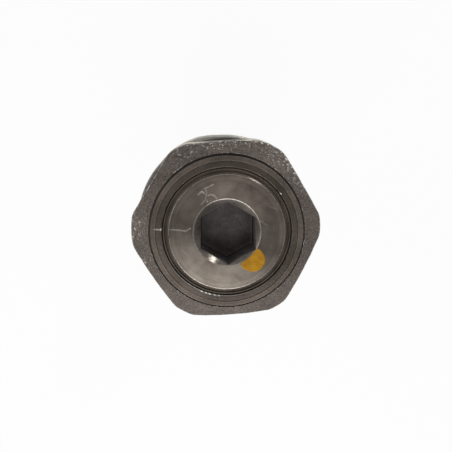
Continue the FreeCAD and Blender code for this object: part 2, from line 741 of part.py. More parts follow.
def make_seat_sleeve():
    """Hardened sleeve: seat lip, flange held in the skirt, and the nose with its seal groove."""
    flange_radius = "seat_bore_radius - fixed_gap"
    groove_end = "nose_groove_top - nose_groove_width"
    tip_radius = "nose_radius - nose_end_drop / tan(nose_end_slope)"
    turned_piece("seat_sleeve", [
        ("inlet_radius", "seat_lip"),
        ("lip_radius", "seat_lip"),
        ("lip_foot_radius", "seat_shoulder"),
        (flange_radius, "seat_shoulder"),
        (flange_radius, "flange_end"),
        ("nose_radius", "flange_end"),
        ("nose_radius", "nose_groove_top"),
        ("nose_groove_radius", "nose_groove_top"),
        ("nose_groove_radius", groove_end),
        ("nose_radius", groove_end),
        ("nose_radius", "nose_end + nose_end_drop"),
        (tip_radius, "nose_end"),
        ("inlet_radius + inlet_mouth_chamfer", "nose_end"),
        ("inlet_radius", "nose_end + inlet_mouth_chamfer"),
    ])
    round_ring("seat_snap_ring", "snap_groove_radius - snap_groove_extra - snap_wire_radius",
               "snap_wire_radius", "flange_end - snap_groove_width / 2", "snap_opening_angle")


def make_nose_seals():
    inner = "nose_groove_radius + fixed_gap"
    outer = "nose_radius - fixed_gap"
    centre = "nose_groove_top - nose_backup_width - nose_cord_space / 2"
    backup_ring("nose_backup_ring_upper", inner, outer,
                "nose_groove_top", "nose_backup_width", "nose_upper_turned")
    backup_ring("nose_backup_ring_lower", inner, outer,
                "lower_backup_top", "nose_backup_width", "nose_lower_turned")
    squeezed_ring("nose_o_ring", inner, outer, "nose_cord_half_width", centre)


PIECES = [
    "valve_body", "adjusting_plug", "plug_o_ring", "plug_backup_ring", "collar_o_ring",
    "piston_liner", "liner_o_ring", "damping_piston", "piston_seal_ring",
    "spring_seat_upper", "shim_thick", "shim_thin", "relief_spring", "spring_seat_lower",
    "poppet", "orifice_screw", "seat_sleeve", "seat_snap_ring",
    "nose_o_ring", "nose_backup_ring_upper", "nose_backup_ring_lower",
]


def check_and_write():
    """Stop on any failed feature or bad solid, then write one file for each piece."""
    doc.recompute()
    for feature in doc.Objects:
        if "Invalid" in feature.State or "Error" in feature.State:
            raise RuntimeError(f"{feature.Label} has failed: {feature.State}")
    os.makedirs("parts", exist_ok=True)
    for label in PIECES:
        piece = doc.getObjectsByLabel(label)[0]
        shape = piece.Shape
        if shape.isNull() or not shape.isValid() or len(shape.Solids) != 1:
            raise RuntimeError(f"{label} is not one valid solid")
        shape.exportStep(f"parts/{label}.step")
        print(f"{label}: {shape.Volume:.1f} cubic millimetres")


make_valve_body()
make_adjusting_plug()
make_plug_seals()
make_collar_o_ring()
make_piston_liner()
make_damping_piston()
make_spring_seats_and_shims()
make_relief_spring()
make_poppet()
make_seat_sleeve()
make_nose_seals()
check_and_write()
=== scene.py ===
import math

import bmesh
import bpy
import numpy as np
from mathutils import Matrix, Vector, noise


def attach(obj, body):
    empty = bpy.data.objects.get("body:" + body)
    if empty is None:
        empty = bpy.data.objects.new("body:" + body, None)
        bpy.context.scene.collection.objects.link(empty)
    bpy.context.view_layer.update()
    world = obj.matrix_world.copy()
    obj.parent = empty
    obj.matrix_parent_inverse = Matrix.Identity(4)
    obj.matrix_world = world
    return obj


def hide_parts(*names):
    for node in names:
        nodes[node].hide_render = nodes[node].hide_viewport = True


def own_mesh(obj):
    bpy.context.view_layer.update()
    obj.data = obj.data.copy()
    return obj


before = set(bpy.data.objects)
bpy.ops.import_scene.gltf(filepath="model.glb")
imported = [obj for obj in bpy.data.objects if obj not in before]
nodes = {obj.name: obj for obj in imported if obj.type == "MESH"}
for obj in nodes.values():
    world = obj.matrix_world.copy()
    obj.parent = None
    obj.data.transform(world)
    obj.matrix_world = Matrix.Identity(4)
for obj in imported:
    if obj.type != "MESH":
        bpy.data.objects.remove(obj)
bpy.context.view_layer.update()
MM = 0.001


# Camera, floor and light. The photograph looks almost straight down on the hexagon head, from
# about 135 mm above its face. The valve stands on its nose on a pale floor, in plain soft light.
face_centre = Vector((0, 0, 0.020))
toward_camera = Vector((-0.03906, 0.17610, 0.98360)).normalized()
camera_distance = 0.135
focal_length = 42.43
centre_off_axis = (0.00028, -0.00170)

camera = bpy.data.objects.new("camera", bpy.data.cameras.new("camera"))
bpy.context.scene.collection.objects.link(camera)
side = Vector((0, 1, 0)).cross(toward_camera).normalized()
up = toward_camera.cross(side)
turned = Matrix((side, up, toward_camera)).transposed().to_4x4()
slid = side * -centre_off_axis[0] + up * -centre_off_axis[1]
camera_place = face_centre + toward_camera * camera_distance + slid
camera.matrix_world = Matrix.Translation(camera_place) @ turned
camera.data.sensor_width = 36
camera.data.lens = focal_length
camera.data.clip_start = 0.01
camera.data.clip_end = 10
bpy.context.scene.camera = camera
bpy.context.scene.view_settings.view_transform = "Standard"

floor_height = -0.0724
floor_mesh = bpy.data.meshes.new("floor")
reach = 1.5
floor_mesh.from_pydata(
    [(-reach, -reach, floor_height), (reach, -reach, floor_height),
     (reach, reach, floor_height), (-reach, reach, floor_height)], [], [(0, 1, 2, 3)])
floor = bpy.data.objects.new("floor", floor_mesh)
bpy.context.scene.collection.objects.link(floor)

floor_finish = bpy.data.materials.new("floor_paper")
floor_finish.use_nodes = True
tree = floor_finish.node_tree
paper = tree.nodes["Principled BSDF"]
paper.inputs["Base Color"].default_value = (0.82, 0.82, 0.82, 1)
paper.inputs["Roughness"].default_value = 0.9
paper.inputs["Specular IOR Level"].default_value = 0.1
glow = tree.nodes.new("ShaderNodeEmission")
glow.inputs["Strength"].default_value = 1.0
seen = tree.nodes.new("ShaderNodeLightPath")
either = tree.nodes.new("ShaderNodeMath")
either.operation = "MAXIMUM"
tree.links.new(seen.outputs["Is Camera Ray"], either.inputs[0])
tree.links.new(seen.outputs["Is Glossy Ray"], either.inputs[1])
share = tree.nodes.new("ShaderNodeMath")
share.operation = "MULTIPLY"
share.inputs[1].default_value = 0.93
tree.links.new(either.outputs[0], share.inputs[0])
blend = tree.nodes.new("ShaderNodeMixShader")
tree.links.new(share.outputs[0], blend.inputs[0])
tree.links.new(paper.outputs[0], blend.inputs[1])
tree.links.new(glow.outputs[0], blend.inputs[2])
tree.links.new(blend.outputs[0], tree.nodes["Material Output"].inputs["Surface"])
floor_mesh.materials.append(floor_finish)

world = bpy.data.worlds.new("studio")
world.use_nodes = True
bpy.context.scene.world = world
tree = world.node_tree
sky = tree.nodes["Background"]
sky.inputs["Color"].default_value = (1, 1, 1, 1)
seen = tree.nodes.new("ShaderNodeLightPath")
level = tree.nodes.new("ShaderNodeMapRange")
level.inputs["To Min"].default_value = 0.42
level.inputs["To Max"].default_value = 1.0
tree.links.new(seen.outputs["Is Camera Ray"], level.inputs["Value"])
tree.links.new(level.outputs["Result"], sky.inputs["Strength"])

lamps = [
    # name, place, size, power
    ("lamp_front", (-0.07, -0.42, 0.42), 0.50, 2.6),
    ("lamp_low", (0.34, 0.49, 0.11), 0.10, 0.8),
    ("lamp_side", (-0.45, 0.10, 0.30), 0.30, 0.3),
]
for name, place, size, power in lamps:
    lamp = bpy.data.lights.new(name, "AREA")
    lamp.energy = power
    lamp.size = size
    holder = bpy.data.objects.new(name, lamp)
    holder.location = place
    holder.rotation_mode = "QUATERNION"
    holder.rotation_quaternion = (-Vector(place)).to_track_quat("-Z", "Y")
    bpy.context.scene.collection.objects.link(holder)


# Valve body. One forging of low-alloy steel, phosphated brown-grey: its hexagon keeps the coarse
# forged skin, while the boss, collar, neck, thread and skirt are turned and the four ports drilled.
ACROSS_FLATS = 46.0
CORNER_RADIUS = 24.86
FIRST_FLAT = math.radians(33.0)
FACE_SLOPE = math.radians(36.0)
BACK_SLOPE = math.radians(30.0)
FACE_START = (20.0, 19.018)
BACK_FOOT = (23.4, 4.0)
FORGED, RING, TURNED, BORE, COLLAR = range(5)
SEGMENTS = 432
HEAD_TURN = math.radians(3.0)
angles = HEAD_TURN + np.arange(SEGMENTS) * 2 * math.pi / SEGMENTS


def rounded(start, corner, end, part):
    """A spot on the curve that rounds off a corner."""
    return (1 - part) ** 2 * start + 2 * part * (1 - part) * corner + part ** 2 * end


def eased(corners, zone, steps=3):
    """Rows of radius and height along an outline. A corner's third value is its rounding."""
    rows = []
    most, little = 0.45, 0.04  # shares of a side that a rounding and the margin beside it may take
    for index, (radius, height, *ease) in enumerate(corners):
        here = np.array((radius, height), float)
        if not ease or index in (0, len(corners) - 1):
            rows.append((radius, height, zone, 0.0))
            continue
        back = np.array(corners[index - 1][:2], float) - here
        on = np.array(corners[index + 1][:2], float) - here
        back_length = np.linalg.norm(back)
        on_length = np.linalg.norm(on)
        cut = min(ease[0], most * back_length, most * on_length)
        start = here + back / back_length * cut
        end = here + on / on_length * cut
        margin = min(0.05, little * back_length, little * on_length)
        rows.append((*(start + back / back_length * margin), zone, 0.0))
        for step in range(steps + 1):
            rows.append((*rounded(start, here, end, step / steps), zone, 1.0))
        rows.append((*(end + on / on_length * margin), zone, 0.0))
    return rows


def smoothed(mesh, sharp_from=35):
    """Smooth shading, but for edges sharper than an angle in degrees."""
    mesh.shade_smooth()
    mesh.set_sharp_from_angle(angle=math.radians(sharp_from))


def wound_mesh(name, rows, turns, closed):
    """A skin through rings of points round the valve's axis. A ring of no radius is one point."""
    count = len(turns)
    points = []
    starts = []
    wear = []
    for radius, height, _, worn in rows:
        radius = np.broadcast_to(radius, count)
        height = np.broadcast_to(height, count)
        starts.append(len(points))
        if radius.max() < 1e-6:
            points.append((0.0, 0.0, float(height[0]) * MM))
            wear.append(float(np.max(worn)))
            continue
        ring = np.stack([radius * np.cos(turns), radius * np.sin(turns), height], 1) * MM
        points.extend(map(tuple, ring))
        wear.extend(np.broadcast_to(worn, count))
    sizes = [b - a for a, b in zip(starts, starts[1:] + [len(points)])]
    faces = []
    zones = []
    pairs = [(i, i + 1) for i in range(len(rows) - 1)]
    if closed:
        pairs.append((len(rows) - 1, 0))
    for a, b in pairs:
        for i in range(count):
            j = (i + 1) % count
            if sizes[a] == 1:
                faces.append((starts[a], starts[b] + j, starts[b] + i))
            elif sizes[b] == 1:
                faces.append((starts[a] + i, starts[a] + j, starts[b]))
            else:
                faces.append((starts[a] + i, starts[a] + j, starts[b] + j, starts[b] + i))
            zones.append(rows[a][2])
    mesh = bpy.data.meshes.new(name)
    mesh.from_pydata(points, [], faces)
    mesh.polygons.foreach_set("material_index", np.array(zones, np.int32))
    worn = mesh.attributes.new("wear", "FLOAT", "POINT")
    worn.data.foreach_set("value", np.array(wear, np.float32))
    mesh.update()
    mesh.calc_loop_triangles()
    volume = 0.0
    spots = np.array(points)
    for triangle in mesh.loop_triangles:
        a, b, c = spots[list(triangle.vertices)]
        volume += float(np.dot(a, np.cross(b, c)))
    if volume < 0:
        mesh.flip_normals()
    smoothed(mesh)
    return mesh


def placed(name, mesh, *finishes):
    """An object for a finished mesh, with its materials in the order of the mesh's zones."""
    piece = bpy.data.objects.new(name, mesh)
    bpy.context.scene.collection.objects.link(piece)
    for finish in finishes:
        mesh.materials.append(finish)
    return piece


def soft_least(a, b, width):
    """The smaller of two values, with the change from one to the other rounded off."""
    part = np.clip(0.5 + 0.5 * (b - a) / width, 0, 1)
    return b + (a - b) * part - width * part * (1 - part)


def marked(start, *marks):
    """How strong marks are round the axis. Each is given as degrees, width and strength."""
    away = np.degrees(angles)
    return np.max([strength * np.clip(start - np.abs(away - place) / width, 0, 1)
                   for place, width, strength in marks], 0)


bore_rows = eased([
    (13.5, -56.0), (13.0, -55.5), (13.0, -54.3), (14.25, -54.3), (14.25, -52.5),
    (13.0, -52.5), (13.0, -46.0), (11.5, -46.0), (11.5, -44.0), (11.5, -37.0),
    (11.5, -10.0), (14.5, -10.0), (14.5, 5.1), (15.153, 6.5), (16.5, 6.5), (16.5, 17.0),
    (16.44, 17.6),
], BORE)
ring_rows = eased([
    (16.44, 17.7), (16.44, 19.65), (16.62, 19.95, 0.1), (16.9, 19.95), (18.1, 19.86),
    (18.2, 20.0, 0.04), (18.8, 20.0), (19.35, 20.0, 0.12), (19.43, 19.85),
], RING)

# The boss's inner edge is nicked, and carries a painted highlight along one side; one score runs
# across its face
INNER_EDGE = (16.5, 16.85)
STEP_FOOT = 18.3
NICK_DEPTH = 0.12
EDGE_WEAR = 0.34
nicked = marked(1.3, (247, 1.6, 1), (251, 1.2, 1), (254.5, 1.8, 1), (259, 1.4, 1), (263, 1.0, 1),
                (177, 1.2, 1), (36, 0.8, 1))
scored = marked(1.2, (177, 0.8, 0.62))
# Painted highlight: the inner edge's wear value is raised around 255 degrees, so that side is
# coloured lighter
edge_wear_and_painted_highlight = EDGE_WEAR + marked(1.5, (255, 42, 0.26))
for index, (radius, height, zone, worn) in enumerate(ring_rows):
    worn = np.minimum(worn, edge_wear_and_painted_highlight if radius < INNER_EDGE[1] else EDGE_WEAR)
    if INNER_EDGE[0] < radius < INNER_EDGE[1]:
        radius = radius + nicked * NICK_DEPTH
        worn = np.maximum(worn, nicked)
    elif INNER_EDGE[1] < radius < STEP_FOOT:
        worn = np.maximum(worn, scored)
    ring_rows[index] = (radius, height, zone, worn)
groove_rows = eased([
    (19.43, 19.8), (19.43, 18.6), (20.0, 18.6), (20.0, 18.95),
], BORE)

# The forging is not quite regular: degrees each flat is turned, then how full the corners are
flats_turned = (-2.0, 0.0, -4.5, 0.0, 0.5, 1.0)
CORNER_BLEND = 0.5
hex_radius = np.interp(np.degrees(angles) % 360, (0, 180, 243, 275, 308, 345, 360),
                       (CORNER_RADIUS, CORNER_RADIUS, 25.20, 25.10, 25.40, CORNER_RADIUS,
                        CORNER_RADIUS))
for flat, extra in enumerate(flats_turned):
    facing = FIRST_FLAT + math.radians(60 * flat + extra)
    toward = np.maximum(np.cos(angles - facing), 0.01)
    hex_radius = soft_least(ACROSS_FLATS / 2 / toward, hex_radius, CORNER_BLEND)
edge_top = FACE_START[1] - (hex_radius - FACE_START[0]) * math.tan(FACE_SLOPE)
back_top = BACK_FOOT[1] + np.maximum(hex_radius - BACK_FOOT[0], 0) * math.tan(BACK_SLOPE)
edge_ease = 0.45
head_rows = []
face_steps = 16
for step in range(face_steps + 1):
    part = step / face_steps
    end_radius = hex_radius - edge_ease * math.cos(FACE_SLOPE)
    radius = FACE_START[0] + part * (end_radius - FACE_START[0])
    height = FACE_START[1] - (radius - FACE_START[0]) * math.tan(FACE_SLOPE)
    head_rows.append((radius, height, FORGED, 0.6 if step == 0 else 0.0))
before = np.stack([head_rows[-1][0], head_rows[-1][1]])
corner = np.stack([hex_radius, edge_top])
after = np.stack([hex_radius, edge_top - edge_ease])
for step in (1, 2, 3, 4):
    head_rows.append((*rounded(before, corner, after, step / 4), FORGED, 1.0))
side_steps = 16
for step in range(1, side_steps + 1):
    part = step / side_steps
    height = after[1] + part * (back_top + 0.15 - after[1])
    head_rows.append((hex_radius, height, FORGED, 0.0))
foot_radius = np.minimum(hex_radius - 0.1, BACK_FOOT[0])
head_rows.append((hex_radius - 0.06, back_top, FORGED, 0.5))
head_rows.append((foot_radius, np.full(SEGMENTS, BACK_FOOT[1]), TURNED, 0.0))

# The forged skin is uneven by about a tenth of a millimetre, always inwards. Its edge carries
# painted highlights beside two corners, and dots of bare metal lie along the edge in four places
SWELL_DEPTH, SWELL_SCALE = 0.10, 0.45
DENT_DEPTH, DENT_SCALE = 0.05, 1.6
DEEPEST = 0.25
forged_rows = []
# Painted highlights on the head's edge beside two corners
painted_edge_highlight = marked(1.6, (72, 6.5, 1), (113, 8.0, 1))
dotted = marked(1.4, (50, 24, 1), (104, 26, 1), (178, 8, 1), (203, 5, 1))
rub_rows = range(face_steps - 1, face_steps + 13)
side_start = face_steps + 5
for index, (radius, height, zone, worn) in enumerate(head_rows):
    if index in rub_rows:
        worn = worn + painted_edge_highlight
    dot_share = 0.5 * index / face_steps if index < side_start else 0.12
    worn = np.maximum(worn, dotted * dot_share)
    if index in (0, len(head_rows) - 1):
        forged_rows.append((radius, height, zone, worn))
        continue
    sink = np.empty(SEGMENTS)
    for i, turn in enumerate(angles):
        spot = Vector((radius[i] * math.cos(turn), radius[i] * math.sin(turn), height[i]))
        sink[i] = SWELL_DEPTH * (0.5 + 0.5 * noise.fractal(spot * SWELL_SCALE, 1.0, 2.0, 3))
        sink[i] += DENT_DEPTH * max(0.0, noise.noise(spot * DENT_SCALE + Vector((7, 3, 1))))
    forged_rows.append((radius - np.clip(sink, 0, DEEPEST), height, zone, worn))

# The collar is pale in five places, painted highlights on its upper side and rubs on two others; it
# is soiled in one, and its rim is spread by a knock
collar_rows = eased([
    (23.5, 4.0), (23.9, 4.0), (24.4, 3.5, 0.12), (24.4, 0.5, 0.12), (23.9, 0.0, 0.1),
    (23.5, 0.0),
], COLLAR)
# Painted highlights at 76, 97 and 114 degrees, on the upper side; rubs at 215 and 300 degrees
rubs_and_painted_highlights = marked(1.5, (114, 8, 0.9), (76, 7, 1.0), (97, 10, 0.35), (300, 9, 0.5), (215, 7, 0.4))
soiled = marked(1.6, (152, 18, 1))
spread = marked(1.6, (115, 13, 0.5))
for index, (radius, height, zone, worn) in enumerate(collar_rows):
    radius = radius + spread * (0 < index < len(collar_rows) - 1)
    collar_rows[index] = (radius, height, zone, np.maximum(worn, rubs_and_painted_highlights) - soiled)
collar_rows += eased([
    (23.4, 0.0), (22.4, 0.0), (20.8, 0.0, 0.08), (20.8, 0.4), (17.7, 0.4), (17.7, -3.0),
    (18.27, -3.5), (18.27, -18.5), (17.9, -19.0), (16.4, -19.0, 0.1), (16.4, -20.8, 0.1),
    (17.2, -21.6, 0.15), (17.2, -32.0), (17.2, -49.0), (17.2, -55.0, 0.2), (16.2, -56.0, 0.15),
    (14.9, -56.0),
], TURNED)
body_rows = bore_rows + ring_rows + groove_rows + forged_rows + collar_rows
body_mesh = wound_mesh("valve_body_skin", body_rows, angles, True)

# The drills for the four ports, flared a little where they break through the skirt
drill_points = []
drill_faces = []
DRILL_SIDES = 48
PORT_HEIGHT = -40.5
stations = [(9.0, 4.0), (16.9, 4.0), (18.9, 6.0)]
for port in range(4):
    turn = port * math.pi / 2
    first = len(drill_points)
    for reach_out, radius in stations:
        for i in range(DRILL_SIDES):
            a = 2 * math.pi * i / DRILL_SIDES
            across = radius * math.cos(a)
            height = PORT_HEIGHT + radius * math.sin(a)
            x = reach_out * math.cos(turn) - across * math.sin(turn)
            y = reach_out * math.sin(turn) + across * math.cos(turn)
            drill_points.append((x * MM, y * MM, height * MM))
    for s in range(len(stations) - 1):
        for i in range(DRILL_SIDES):
            j = (i + 1) % DRILL_SIDES
            a = first + s * DRILL_SIDES
            b = a + DRILL_SIDES
            drill_faces.append((a + i, a + j, b + j, b + i))
    drill_faces.append(tuple(first + i for i in reversed(range(DRILL_SIDES))))
    top = first + (len(stations) - 1) * DRILL_SIDES
    drill_faces.append(tuple(top + i for i in range(DRILL_SIDES)))
drill_mesh = bpy.data.meshes.new("port_drills")
drill_mesh.from_pydata(drill_points, [], drill_faces)
drills = bpy.data.objects.new("port_drills", drill_mesh)
bpy.context.scene.collection.objects.link(drills)


def new_finish(name):
    """A material with its tree, its shader and the place on the piece."""
    finish = bpy.data.materials.new(name)
    finish.use_nodes = True
    tree = finish.node_tree
    spot = tree.nodes.new("ShaderNodeTexCoord").outputs["Object"]
    return finish, tree, tree.nodes["Principled BSDF"], spot


def put(tree, kind, links=(), **settings):
    """A node with its settings, values by socket name, and links into its inputs."""
    node = tree.nodes.new(kind)
    for key, value in settings.items():
        if hasattr(node, key):
            setattr(node, key, value)
        else:
            node.inputs[key.replace("_", " ")].default_value = value
    for name, output in links:
        tree.links.new(output, node.inputs[name])
    return node


def maths(tree, operation, first, second=None, clamp=False):
    """The outcome of a math node on numbers or outputs."""
    node = tree.nodes.new("ShaderNodeMath")
    node.operation = operation
    node.use_clamp = clamp
    for socket, value in zip(node.inputs, (first, second)):
        if value is None:
            continue
        if isinstance(value, (int, float)):
            socket.default_value = value
        else:
            tree.links.new(value, socket)
    return node.outputs[0]


def grain(tree, vector, scale, detail=4.0, roughness=0.6):
    """Noise on a vector, as a value about a half."""
    return put(tree, "ShaderNodeTexNoise", [("Vector", vector)], Scale=scale, Detail=detail,
               Roughness=roughness).outputs["Fac"]


def tinted(tree, value, stops):
    """A colour for a value, from pairs of place and colour."""
    ramp = tree.nodes.new("ShaderNodeValToRGB")
    while len(ramp.color_ramp.elements) < len(stops):
        ramp.color_ramp.elements.new(0.5)
    for element, (place, colour) in zip(ramp.color_ramp.elements, stops):
        element.position = place
        element.color = (*colour, 1)
    tree.links.new(value, ramp.inputs["Fac"])
    return ramp.outputs["Color"]


def mixed(tree, share, first, second, kind="MIX"):
    """Two colours mixed by a share."""
    node = put(tree, "ShaderNodeMix", data_type="RGBA", blend_type=kind)
    share_and_colours = (node.inputs[0], node.inputs[6], node.inputs[7])
    for socket, value in zip(share_and_colours, (share, first, second)):
        if isinstance(value, (int, float)):
            socket.default_value = value
        elif isinstance(value, tuple):
            socket.default_value = (*value, 1)
        else:
            tree.links.new(value, socket)
    return node.outputs[2]


def toned(tree, colour, value, stops):
    """A colour made darker or lighter by a value."""
    return mixed(tree, 1.0, colour, tinted(tree, value, stops), "MULTIPLY")


def ranged(tree, value, start, end, to_start=0.0, to_end=1.0):
    """A value brought from one range to another."""
    return put(tree, "ShaderNodeMapRange", [("Value", value)], From_Min=start, From_Max=end,
               To_Min=to_start, To_Max=to_end).outputs[0]


def coated(tree, shader, colour, metal, rough, rough_share, rough_start):
    """The shader's colour and metal, and a roughness that follows a value."""
    tree.links.new(colour, shader.inputs["Base Color"])
    shader.inputs["Metallic"].default_value = metal
    rough = maths(tree, "ADD", maths(tree, "MULTIPLY", rough, rough_share), rough_start)
    tree.links.new(rough, shader.inputs["Roughness"])


def raised(tree, shader, height, distance, strength):
    """Bump on a shader from a height value."""
    bump = put(tree, "ShaderNodeBump", [("Height", height)], Strength=strength, Distance=distance)
    tree.links.new(bump.outputs["Normal"], shader.inputs["Normal"])


def parted(tree, vector):
    """A vector's three values, by axis."""
    return put(tree, "ShaderNodeSeparateXYZ", [("Vector", vector)]).outputs


def lathe_spot(tree, spot):
    """The place on a turned surface as radius and height, so that a pattern runs round the axis."""
    flat = put(tree, "ShaderNodeVectorMath", [(0, spot)], operation="MULTIPLY")
    flat.inputs[1].default_value = (1, 1, 0)
    length = put(tree, "ShaderNodeVectorMath", [(0, flat.outputs[0])], operation="LENGTH")
    radius = length.outputs["Value"]
    place = put(tree, "ShaderNodeCombineXYZ", [("X", radius), ("Z", parted(tree, spot)["Z"])])
    return place.outputs[0], radius


def wear_of(tree):
    """How worn the skin is, from the mesh."""
    return put(tree, "ShaderNodeAttribute", attribute_name="wear").outputs["Fac"]


def edged(tree, spot, colour, share, bare):
    """A colour with a share of bare metal where the edges are worn, broken up by grain."""
    patchy = grain(tree, spot, 700.0, 3.0)
    patchy = maths(tree, "MULTIPLY", maths(tree, "SUBTRACT", patchy, 0.42), 5.0, clamp=True)
    edge = maths(tree, "MULTIPLY", wear_of(tree), patchy, clamp=True)
    return mixed(tree, maths(tree, "MULTIPLY", edge, share), colour, bare)


# Forged skin: coarse speckle of brown and purple-grey, dull, pitted, with bright dots, rubbed edges
# and painted highlights
forged_skin, tree, shader, spot = new_finish("forged_skin")
speckle = grain(tree, spot, 2100.0, 5.0, 0.75)
blotch = grain(tree, spot, 160.0, 3.0, 0.5)
colour = tinted(tree, speckle, [
    (0.32, (0.050, 0.042, 0.038)), (0.47, (0.125, 0.108, 0.098)), (0.60, (0.190, 0.168, 0.155)),
    (0.75, (0.300, 0.270, 0.250))])
colour = toned(tree, colour, blotch, [(0.35, (0.88, 0.83, 0.80)), (0.65, (1.12, 1.06, 1.01))])
colour = edged(tree, spot, colour, 0.5, (0.36, 0.34, 0.31))
worn = wear_of(tree)
# Cream where the wear value passes 0.9: rubbed edges, and the painted highlights beside two corners
wear_and_painted_highlights = maths(tree, "SUBTRACT", worn, 0.9)
wear_and_painted_highlights = maths(tree, "MULTIPLY", wear_and_painted_highlights, maths(tree, "MULTIPLY", speckle, 1.9), clamp=True)
colour = mixed(tree, wear_and_painted_highlights, colour, (0.78, 0.74, 0.64))
dots = maths(tree, "SUBTRACT", grain(tree, spot, 1500.0, 2.0), 0.585)
dots = maths(tree, "MULTIPLY", dots, 16.0, clamp=True)
dots = maths(tree, "MULTIPLY", dots, maths(tree, "MULTIPLY", worn, 2.0, clamp=True), clamp=True)
colour = mixed(tree, dots, colour, (0.66, 0.64, 0.60))
coated(tree, shader, colour, 0.75, speckle, 0.25, 0.42)
raised(tree, shader, grain(tree, spot, 1300.0, 6.0, 0.7), 0.00035, 0.9)

# Turned boss: brownish rings left by the tool, lighter near its rim, with rubbed edges and a
# painted highlight along one side of the inner edge
boss_finish, tree, shader, spot = new_finish("turned_boss")
lathe, radius = lathe_spot(tree, spot)
streak = grain(tree, lathe, 2600.0, 3.0, 0.6)
fine = grain(tree, spot, 1300.0, 4.0, 0.6)
blotch = grain(tree, spot, 130.0, 3.0, 0.5)
band = ranged(tree, radius, 0.0180, 0.0183)
colour = mixed(tree, band, (0.072, 0.061, 0.052), (0.112, 0.096, 0.083))
colour = toned(tree, colour, streak, [(0.30, (0.72, 0.70, 0.70)), (0.70, (1.30, 1.28, 1.25))])
colour = toned(tree, colour, blotch, [(0.35, (0.80, 0.78, 0.76)), (0.65, (1.22, 1.20, 1.18))])
colour = toned(tree, colour, fine, [(0.30, (0.85, 0.84, 0.83)), (0.70, (1.12, 1.12, 1.12))])
colour = edged(tree, spot, colour, 0.55, (0.42, 0.39, 0.36))
# Lighter where the wear value runs high: nicks, a score, and the painted highlight on one side of
# the inner edge
wear_and_painted_highlights = maths(tree, "SUBTRACT", wear_of(tree), EDGE_WEAR)
wear_and_painted_highlights = maths(tree, "MULTIPLY", wear_and_painted_highlights, 1.6, clamp=True)
colour = mixed(tree, wear_and_painted_highlights, colour, (0.80, 0.76, 0.70))
coated(tree, shader, colour, 0.8, fine, 0.2, 0.36)
tree.links.new(ranged(tree, band, 0.0, 1.0, 0.8, 0.9), shader.inputs["Metallic"])
raised(tree, shader, maths(tree, "ADD", maths(tree, "MULTIPLY", streak, 0.7), fine), 0.00006, 0.8)

# Turned and phosphated outside: the back of the head, neck, thread and skirt
turned_finish, tree, shader, spot = new_finish("turned_phosphated")
lathe, _ = lathe_spot(tree, spot)
streak = grain(tree, lathe, 3200.0, 3.0, 0.6)
fine = grain(tree, spot, 1100.0, 5.0, 0.65)
blotch = grain(tree, spot, 90.0, 3.0, 0.5)
colour = tinted(tree, blotch, [(0.35, (0.150, 0.138, 0.125)), (0.65, (0.235, 0.222, 0.205))])
colour = toned(tree, colour, streak, [(0.30, (0.80, 0.80, 0.80)), (0.70, (1.22, 1.21, 1.20))])
colour = toned(tree, colour, fine, [(0.30, (0.82, 0.81, 0.80)), (0.70, (1.15, 1.15, 1.14))])
colour = edged(tree, spot, colour, 0.6, (0.48, 0.46, 0.43))
coated(tree, shader, colour, 0.9, fine, 0.22, 0.30)
raised(tree, shader, maths(tree, "ADD", streak, maths(tree, "MULTIPLY", fine, 0.6)), 0.00005, 0.8)

# Collar: turned, pale yellowish in patches: rubbed where the spanner slid on it, and painted
# highlights on its upper side
collar_finish, tree, shader, spot = new_finish("rubbed_collar")
lathe, _ = lathe_spot(tree, spot)
streak = grain(tree, lathe, 2600.0, 3.0, 0.6)
fine = grain(tree, spot, 1300.0, 5.0, 0.65)
blotch = grain(tree, spot, 110.0, 3.0, 0.5)
colour = tinted(tree, blotch, [(0.35, (0.420, 0.410, 0.394)), (0.65, (0.580, 0.568, 0.543))])
colour = toned(tree, colour, streak, [(0.30, (0.80, 0.80, 0.80)), (0.70, (1.18, 1.18, 1.17))])
worn = wear_of(tree)
patchy = maths(tree, "MULTIPLY", maths(tree, "SUBTRACT", fine, 0.30), 4.0, clamp=True)
# Pale yellowish patches where the wear value is high: rubs, and painted highlights on the upper
# side
colour = mixed(tree, maths(tree, "MULTIPLY", worn, patchy, clamp=True), colour, (0.72, 0.68, 0.58))
soil = mixed(tree, patchy, (0.090, 0.080, 0.074), (0.260, 0.238, 0.222))
colour = mixed(tree, maths(tree, "MULTIPLY", worn, -0.95, clamp=True), colour, soil)
coated(tree, shader, colour, 0.8, fine, 0.22, 0.28)
raised(tree, shader, maths(tree, "ADD", streak, maths(tree, "MULTIPLY", fine, 0.6)), 0.00005, 0.8)

# Bores: ground or reamed, darker with oil
bore_finish, tree, shader, spot = new_finish("oiled_bore")
lathe, _ = lathe_spot(tree, spot)
streak = grain(tree, lathe, 2400.0, 3.0, 0.6)
blotch = grain(tree, spot, 140.0, 3.0, 0.5)
colour = tinted(tree, blotch, [(0.35, (0.035, 0.031, 0.029)), (0.65, (0.062, 0.056, 0.052))])
colour = toned(tree, colour, streak, [(0.30, (0.80, 0.80, 0.80)), (0.70, (1.25, 1.24, 1.22))])
coated(tree, shader, colour, 0.9, blotch, 0.3, 0.2)
raised(tree, shader, streak, 0.00004, 0.7)


def cut_away(name, mesh, tool):
    """The mesh less the tool's volume."""
    blank = bpy.data.objects.new(name, mesh)
    bpy.context.scene.collection.objects.link(blank)
    cut = blank.modifiers.new("cut", "BOOLEAN")
    cut.operation = "DIFFERENCE"
    cut.solver = "EXACT"
    cut.object = tool
    graph = bpy.context.evaluated_depsgraph_get()
    made = bpy.data.meshes.new_from_object(blank.evaluated_get(graph))
    bpy.data.objects.remove(blank)
    return made


